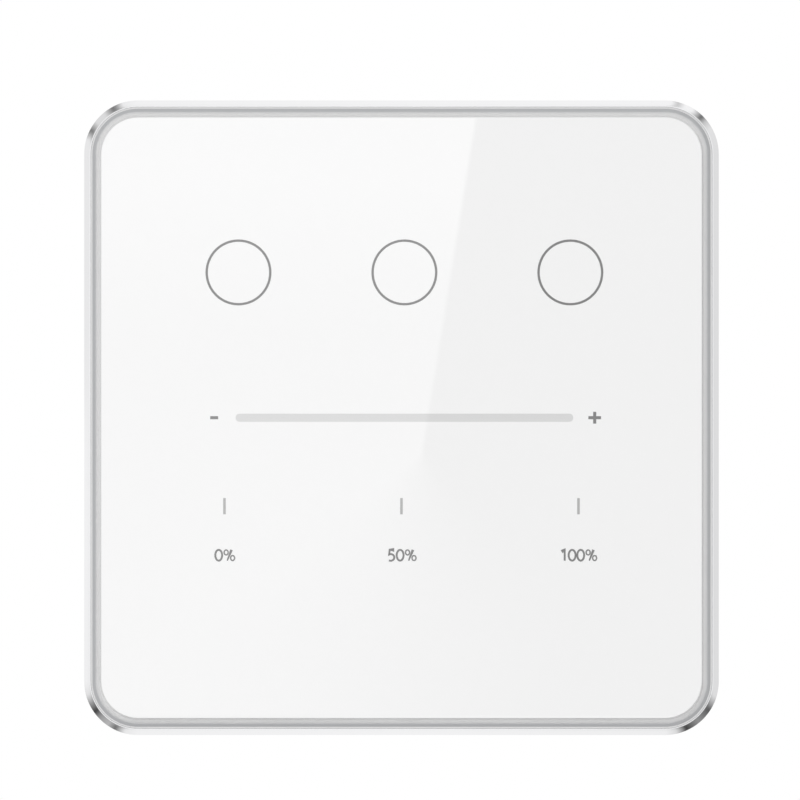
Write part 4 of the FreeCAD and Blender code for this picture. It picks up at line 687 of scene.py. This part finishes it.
mesh, loops = square_rings(glass_rings())
join_loops(mesh, loops, ends="capped")
glass, tree, shader, place = new_surface("polished_soda_lime_glass",
                                         {"Base Color": linear("#fefefe"), "IOR": 1.52,
                                          "Transmission Weight": 1.0})
smears = add_node(tree, "ShaderNodeTexNoise", {"Vector": place, "Scale": smears_per_metre,
                                               "Detail": 2.0})
dull = add_node(tree, "ShaderNodeMapRange", {"Value": smears.outputs["Fac"], "To Min": 0.0,
                                             "To Max": 0.012})
turn = add_node(tree, "ShaderNodeNewGeometry")
facing = add_node(tree, "ShaderNodeSeparateXYZ", {"Vector": turn.outputs["Normal"]})
flatness = add_node(tree, "ShaderNodeMath", {0: facing.outputs["Y"]}, operation="ABSOLUTE")
lapped = add_node(tree, "ShaderNodeMapRange", {"Value": flatness.outputs["Value"],
                                               "From Min": 0.9999, "From Max": 0.996,
                                               "To Max": 0.4})
polish = add_node(tree, "ShaderNodeMath", {0: dull.outputs["Result"],
                                           1: lapped.outputs["Result"]}, operation="ADD")
tree.links.new(polish.outputs["Value"], shader.inputs["Roughness"])
# Painted shade: the steep edge turns into this opaque grey, which stands for the dark shadow line
# between the glass and the bezel.
ground_edge_painted_shade = add_node(tree, "ShaderNodeBsdfPrincipled", {"Base Color": linear("#adaeb0"),
                                                     "Roughness": 0.7})
steep = add_node(tree, "ShaderNodeMapRange", {"Value": flatness.outputs["Value"],
                                              "From Min": 0.999, "From Max": 0.93},
                 interpolation_type="SMOOTHSTEP")
body = add_node(tree, "ShaderNodeMixShader", {0: steep.outputs["Result"],
                                              1: shader.outputs["BSDF"],
                                              2: ground_edge_painted_shade.outputs["BSDF"]})
# Light on its way to and from the print goes straight through, so that the print is lit.
path = add_node(tree, "ShaderNodeLightPath")
scattered = add_node(tree, "ShaderNodeMath", {0: path.outputs["Is Shadow Ray"],
                                              1: path.outputs["Diffuse Depth"]},
                     operation="MAXIMUM")
soft_rays = add_node(tree, "ShaderNodeMath", {0: scattered.outputs["Value"], 1: 0.5},
                     operation="GREATER_THAN")
clear = add_node(tree, "ShaderNodeBsdfTransparent", {"Color": linear("#fefefe")})
through = add_node(tree, "ShaderNodeMixShader", {0: soft_rays.outputs["Value"],
                                                 1: body.outputs["Shader"],
                                                 2: clear.outputs["BSDF"]})
sink = next(node for node in tree.nodes if node.type == "OUTPUT_MATERIAL")
tree.links.new(through.outputs["Shader"], sink.inputs["Surface"])
plate = new_piece("glass_plate", mesh, glass, "front_panel")
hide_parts("glass_panel")


# Floor: a plain pale paper sheet under the part, out of the front picture. It isn't mirrored in
# the part's bright pieces.
def flat_sheet(name, corners, material):
    """One flat face as an object, for what stands round the part."""
    mesh = bmesh.new()
    mesh.faces.new([mesh.verts.new(corner) for corner in corners])
    data = bpy.data.meshes.new(name)
    mesh.to_mesh(data)
    mesh.free()
    data.materials.append(material)
    sheet = bpy.data.objects.new(name, data)
    bpy.context.scene.collection.objects.link(sheet)
    return sheet


floor_reach, floor_level = 0.5, -0.12
square = ((-1, -1), (1, -1), (1, 1), (-1, 1))
paper = new_surface("pale_paper", {"Base Color": linear("#f2f2f2"), "Roughness": 0.9,
                                   "Specular IOR Level": 0.1})[0]
floor = flat_sheet("floor", [(side * floor_reach, rise * floor_reach, floor_level)
                             for side, rise in square], paper)
floor.visible_glossy = False

# Light tent: white all round, with the narrow dark gaps between its panels that the bright bezel
# picks up at its corners, by their angle round the plate and their level. It is plain where it
# opens for the camera, and what it sheds on the part is a little dimmer than what mirrors show.
gaps = [(0, 0.76), (30, 0.8), (39, 0.6), (45.5, 0.12), (52, 0.6), (57, 0.95), (66, 0.95),
        (74, 0.6), (81, 0.95), (90, 0.95), (108, 0.88), (115, 0.35), (119.3, 0.18), (124, 0.4),
        (130, 0.75), (142, 0.75), (152.5, 0.18), (163, 0.85), (180, 0.95), (196, 0.8),
        (207, 0.3), (215.7, 0.04), (224, 0.35), (235, 0.5), (243.4, 0.15), (254, 0.85),
        (270, 0.95), (284, 0.75), (294.7, 0.04), (310, 0.3), (326.5, 0.1), (342, 0.76)]
shed_level = 0.778
world = bpy.data.worlds.new("light_tent")
world.use_nodes = True
tree = world.node_tree
tree.nodes.clear()
looking = add_node(tree, "ShaderNodeTexCoord").outputs["Generated"]
turned = add_node(tree, "ShaderNodeMapping", {"Vector": looking,
                                              "Rotation": (-math.pi / 2, 0, 0)})
around = add_node(tree, "ShaderNodeTexGradient", {"Vector": turned.outputs["Vector"]},
                  gradient_type="RADIAL")
panels = add_node(tree, "ShaderNodeValToRGB", {"Fac": around.outputs["Fac"]})
stops = panels.color_ramp.elements
while len(stops) < len(gaps):
    stops.new(0.5)
turns = sorted(((angle / 360 + 0.5) % 1, level) for angle, level in gaps)
for stop, (turn, level) in zip(stops, turns):
    stop.position, stop.color = turn, (level, level, level, 1.0)
heading = add_node(tree, "ShaderNodeSeparateXYZ", {"Vector": looking})
opening = add_node(tree, "ShaderNodeMapRange", {"Value": heading.outputs["Y"],
                                                "From Min": -0.97, "From Max": -0.995,
                                                "To Min": 0.0, "To Max": 1.0},
                   interpolation_type="SMOOTHSTEP")
seen = add_node(tree, "ShaderNodeMix", {"Factor": opening.outputs["Result"],
                                        "A": panels.outputs["Color"], "B": linear("#fafafa")},
                data_type="RGBA")
path = add_node(tree, "ShaderNodeLightPath")
mirrored = add_node(tree, "ShaderNodeMix", {"Factor": path.outputs["Is Glossy Ray"],
                                            "A": linear("#ffffff"),
                                            "B": seen.outputs["Result"]}, data_type="RGBA")
sharp = add_node(tree, "ShaderNodeMath", {0: path.outputs["Is Camera Ray"],
                                          1: path.outputs["Is Glossy Ray"]},
                 operation="MAXIMUM")
plain = add_node(tree, "ShaderNodeMath", {0: sharp.outputs["Value"],
                                          1: path.outputs["Is Transmission Ray"]},
                 operation="MAXIMUM")
strength = add_node(tree, "ShaderNodeMapRange", {"Value": plain.outputs["Value"],
                                                 "To Min": shed_level, "To Max": 1.0})
sky = add_node(tree, "ShaderNodeBackground", {"Color": mirrored.outputs["Result"],
                                              "Strength": strength.outputs["Result"]})
add_node(tree, "ShaderNodeOutputWorld", {"Surface": sky.outputs["Background"]})
bpy.context.scene.world = world
world.cycles.sampling_method = "NONE"

# Tent wall: the bright cloth behind the camera with its slanted edge, which the glass mirrors as
# the paler left part of its face. The edge is sharp above and blurs below, and the cloth is
# brightest at its top. It shows in reflections only, and stands 2.99 times as large as its image.
wall_depth, mirror_scale, wall_reach = -2.4, 2.99, 0.1255
edge_top, edge_low = (0.0102, 0.0389), (0.0020, -0.0122)
bright_cloth, dark_beside = 1.8, 0.15
blur_top, blur_end, sharp_edge, soft_edge = -0.02, -0.10, 0.0012, 0.10
dim_start, dim_end, dim_share = 0.03, 0.09, 0.68
cloth = bpy.data.materials.new("tent_wall_light")
cloth.use_nodes = True
tree = cloth.node_tree
tree.nodes.clear()
slant = (edge_top[0] - edge_low[0]) / (edge_top[1] - edge_low[1])
edge_start = (edge_low[0] - slant * edge_low[1]) * mirror_scale
place = add_node(tree, "ShaderNodeTexCoord").outputs["Object"]
parts = add_node(tree, "ShaderNodeSeparateXYZ", {"Vector": place})
lean = add_node(tree, "ShaderNodeMath", {0: parts.outputs["Z"], 1: -slant},
                operation="MULTIPLY")
across = add_node(tree, "ShaderNodeMath", {0: parts.outputs["X"], 1: lean.outputs["Value"]},
                  operation="ADD")
blur = add_node(tree, "ShaderNodeMapRange", {"Value": parts.outputs["Z"],
                                             "From Min": blur_top, "From Max": blur_end,
                                             "To Min": sharp_edge, "To Max": soft_edge})
shifted = add_node(tree, "ShaderNodeMath", {0: across.outputs["Value"], 1: edge_start},
                   operation="SUBTRACT")
ratio = add_node(tree, "ShaderNodeMath", {0: shifted.outputs["Value"],
                                          1: blur.outputs["Result"]}, operation="DIVIDE")
level = add_node(tree, "ShaderNodeMapRange", {"Value": ratio.outputs["Value"],
                                              "From Min": -1.0, "From Max": 1.0,
                                              "To Min": bright_cloth, "To Max": dark_beside},
                 interpolation_type="SMOOTHSTEP")
fade = add_node(tree, "ShaderNodeMapRange", {"Value": parts.outputs["Z"],
                                             "From Min": dim_start, "From Max": dim_end,
                                             "To Min": dim_share, "To Max": 1.0})
dimmed = add_node(tree, "ShaderNodeMath", {0: level.outputs["Result"],
                                           1: fade.outputs["Result"]}, operation="MULTIPLY")
glow = add_node(tree, "ShaderNodeEmission", {"Strength": dimmed.outputs["Value"]})
add_node(tree, "ShaderNodeOutputMaterial", {"Surface": glow.outputs["Emission"]})
wall = flat_sheet("tent_wall", [(side * wall_reach, wall_depth, rise * wall_reach)
                                for side, rise in square], cloth)
wall.visible_camera = wall.visible_diffuse = wall.visible_shadow = False
wall.visible_transmission = False


# Lamps: one broad soft lamp from the upper left in front, and a weaker one from behind on the
# right. Neither shows in reflections.
def soft_lamp(name, place, size, power):
    """A square lamp that faces the part."""
    lamp = bpy.data.lights.new(name, "AREA")
    lamp.size, lamp.energy = size, power
    holder = bpy.data.objects.new(name, lamp)
    holder.location = place
    holder.rotation_euler = (-Vector(place)).to_track_quat("-Z", "Y").to_euler()
    holder.visible_glossy = False
    bpy.context.scene.collection.objects.link(holder)


soft_lamp("key_lamp", (-0.9, -1.5, 1.1), 0.9, 12.0)
soft_lamp("back_lamp", (1.1, 1.4, 0.9), 0.9, 9.0)

# Camera: level and square to the plate, from 1.2 m, as the photograph is framed. The picture is
# 108.3 mm wide at the glass's face.
far, picture_width, sensor = 1.2, 0.1083, 36.0
aim_x, aim_z = -0.00020, 0.00240
camera = bpy.data.cameras.new("camera")
camera.sensor_width, camera.lens = sensor, sensor * far / picture_width
eye = bpy.data.objects.new("camera", camera)
eye.location = (aim_x, glass_front - far, aim_z)
eye.rotation_euler = (math.pi / 2, 0, 0)
bpy.context.scene.collection.objects.link(eye)
bpy.context.scene.camera = eye
bpy.context.scene.view_settings.view_transform = "Standard"
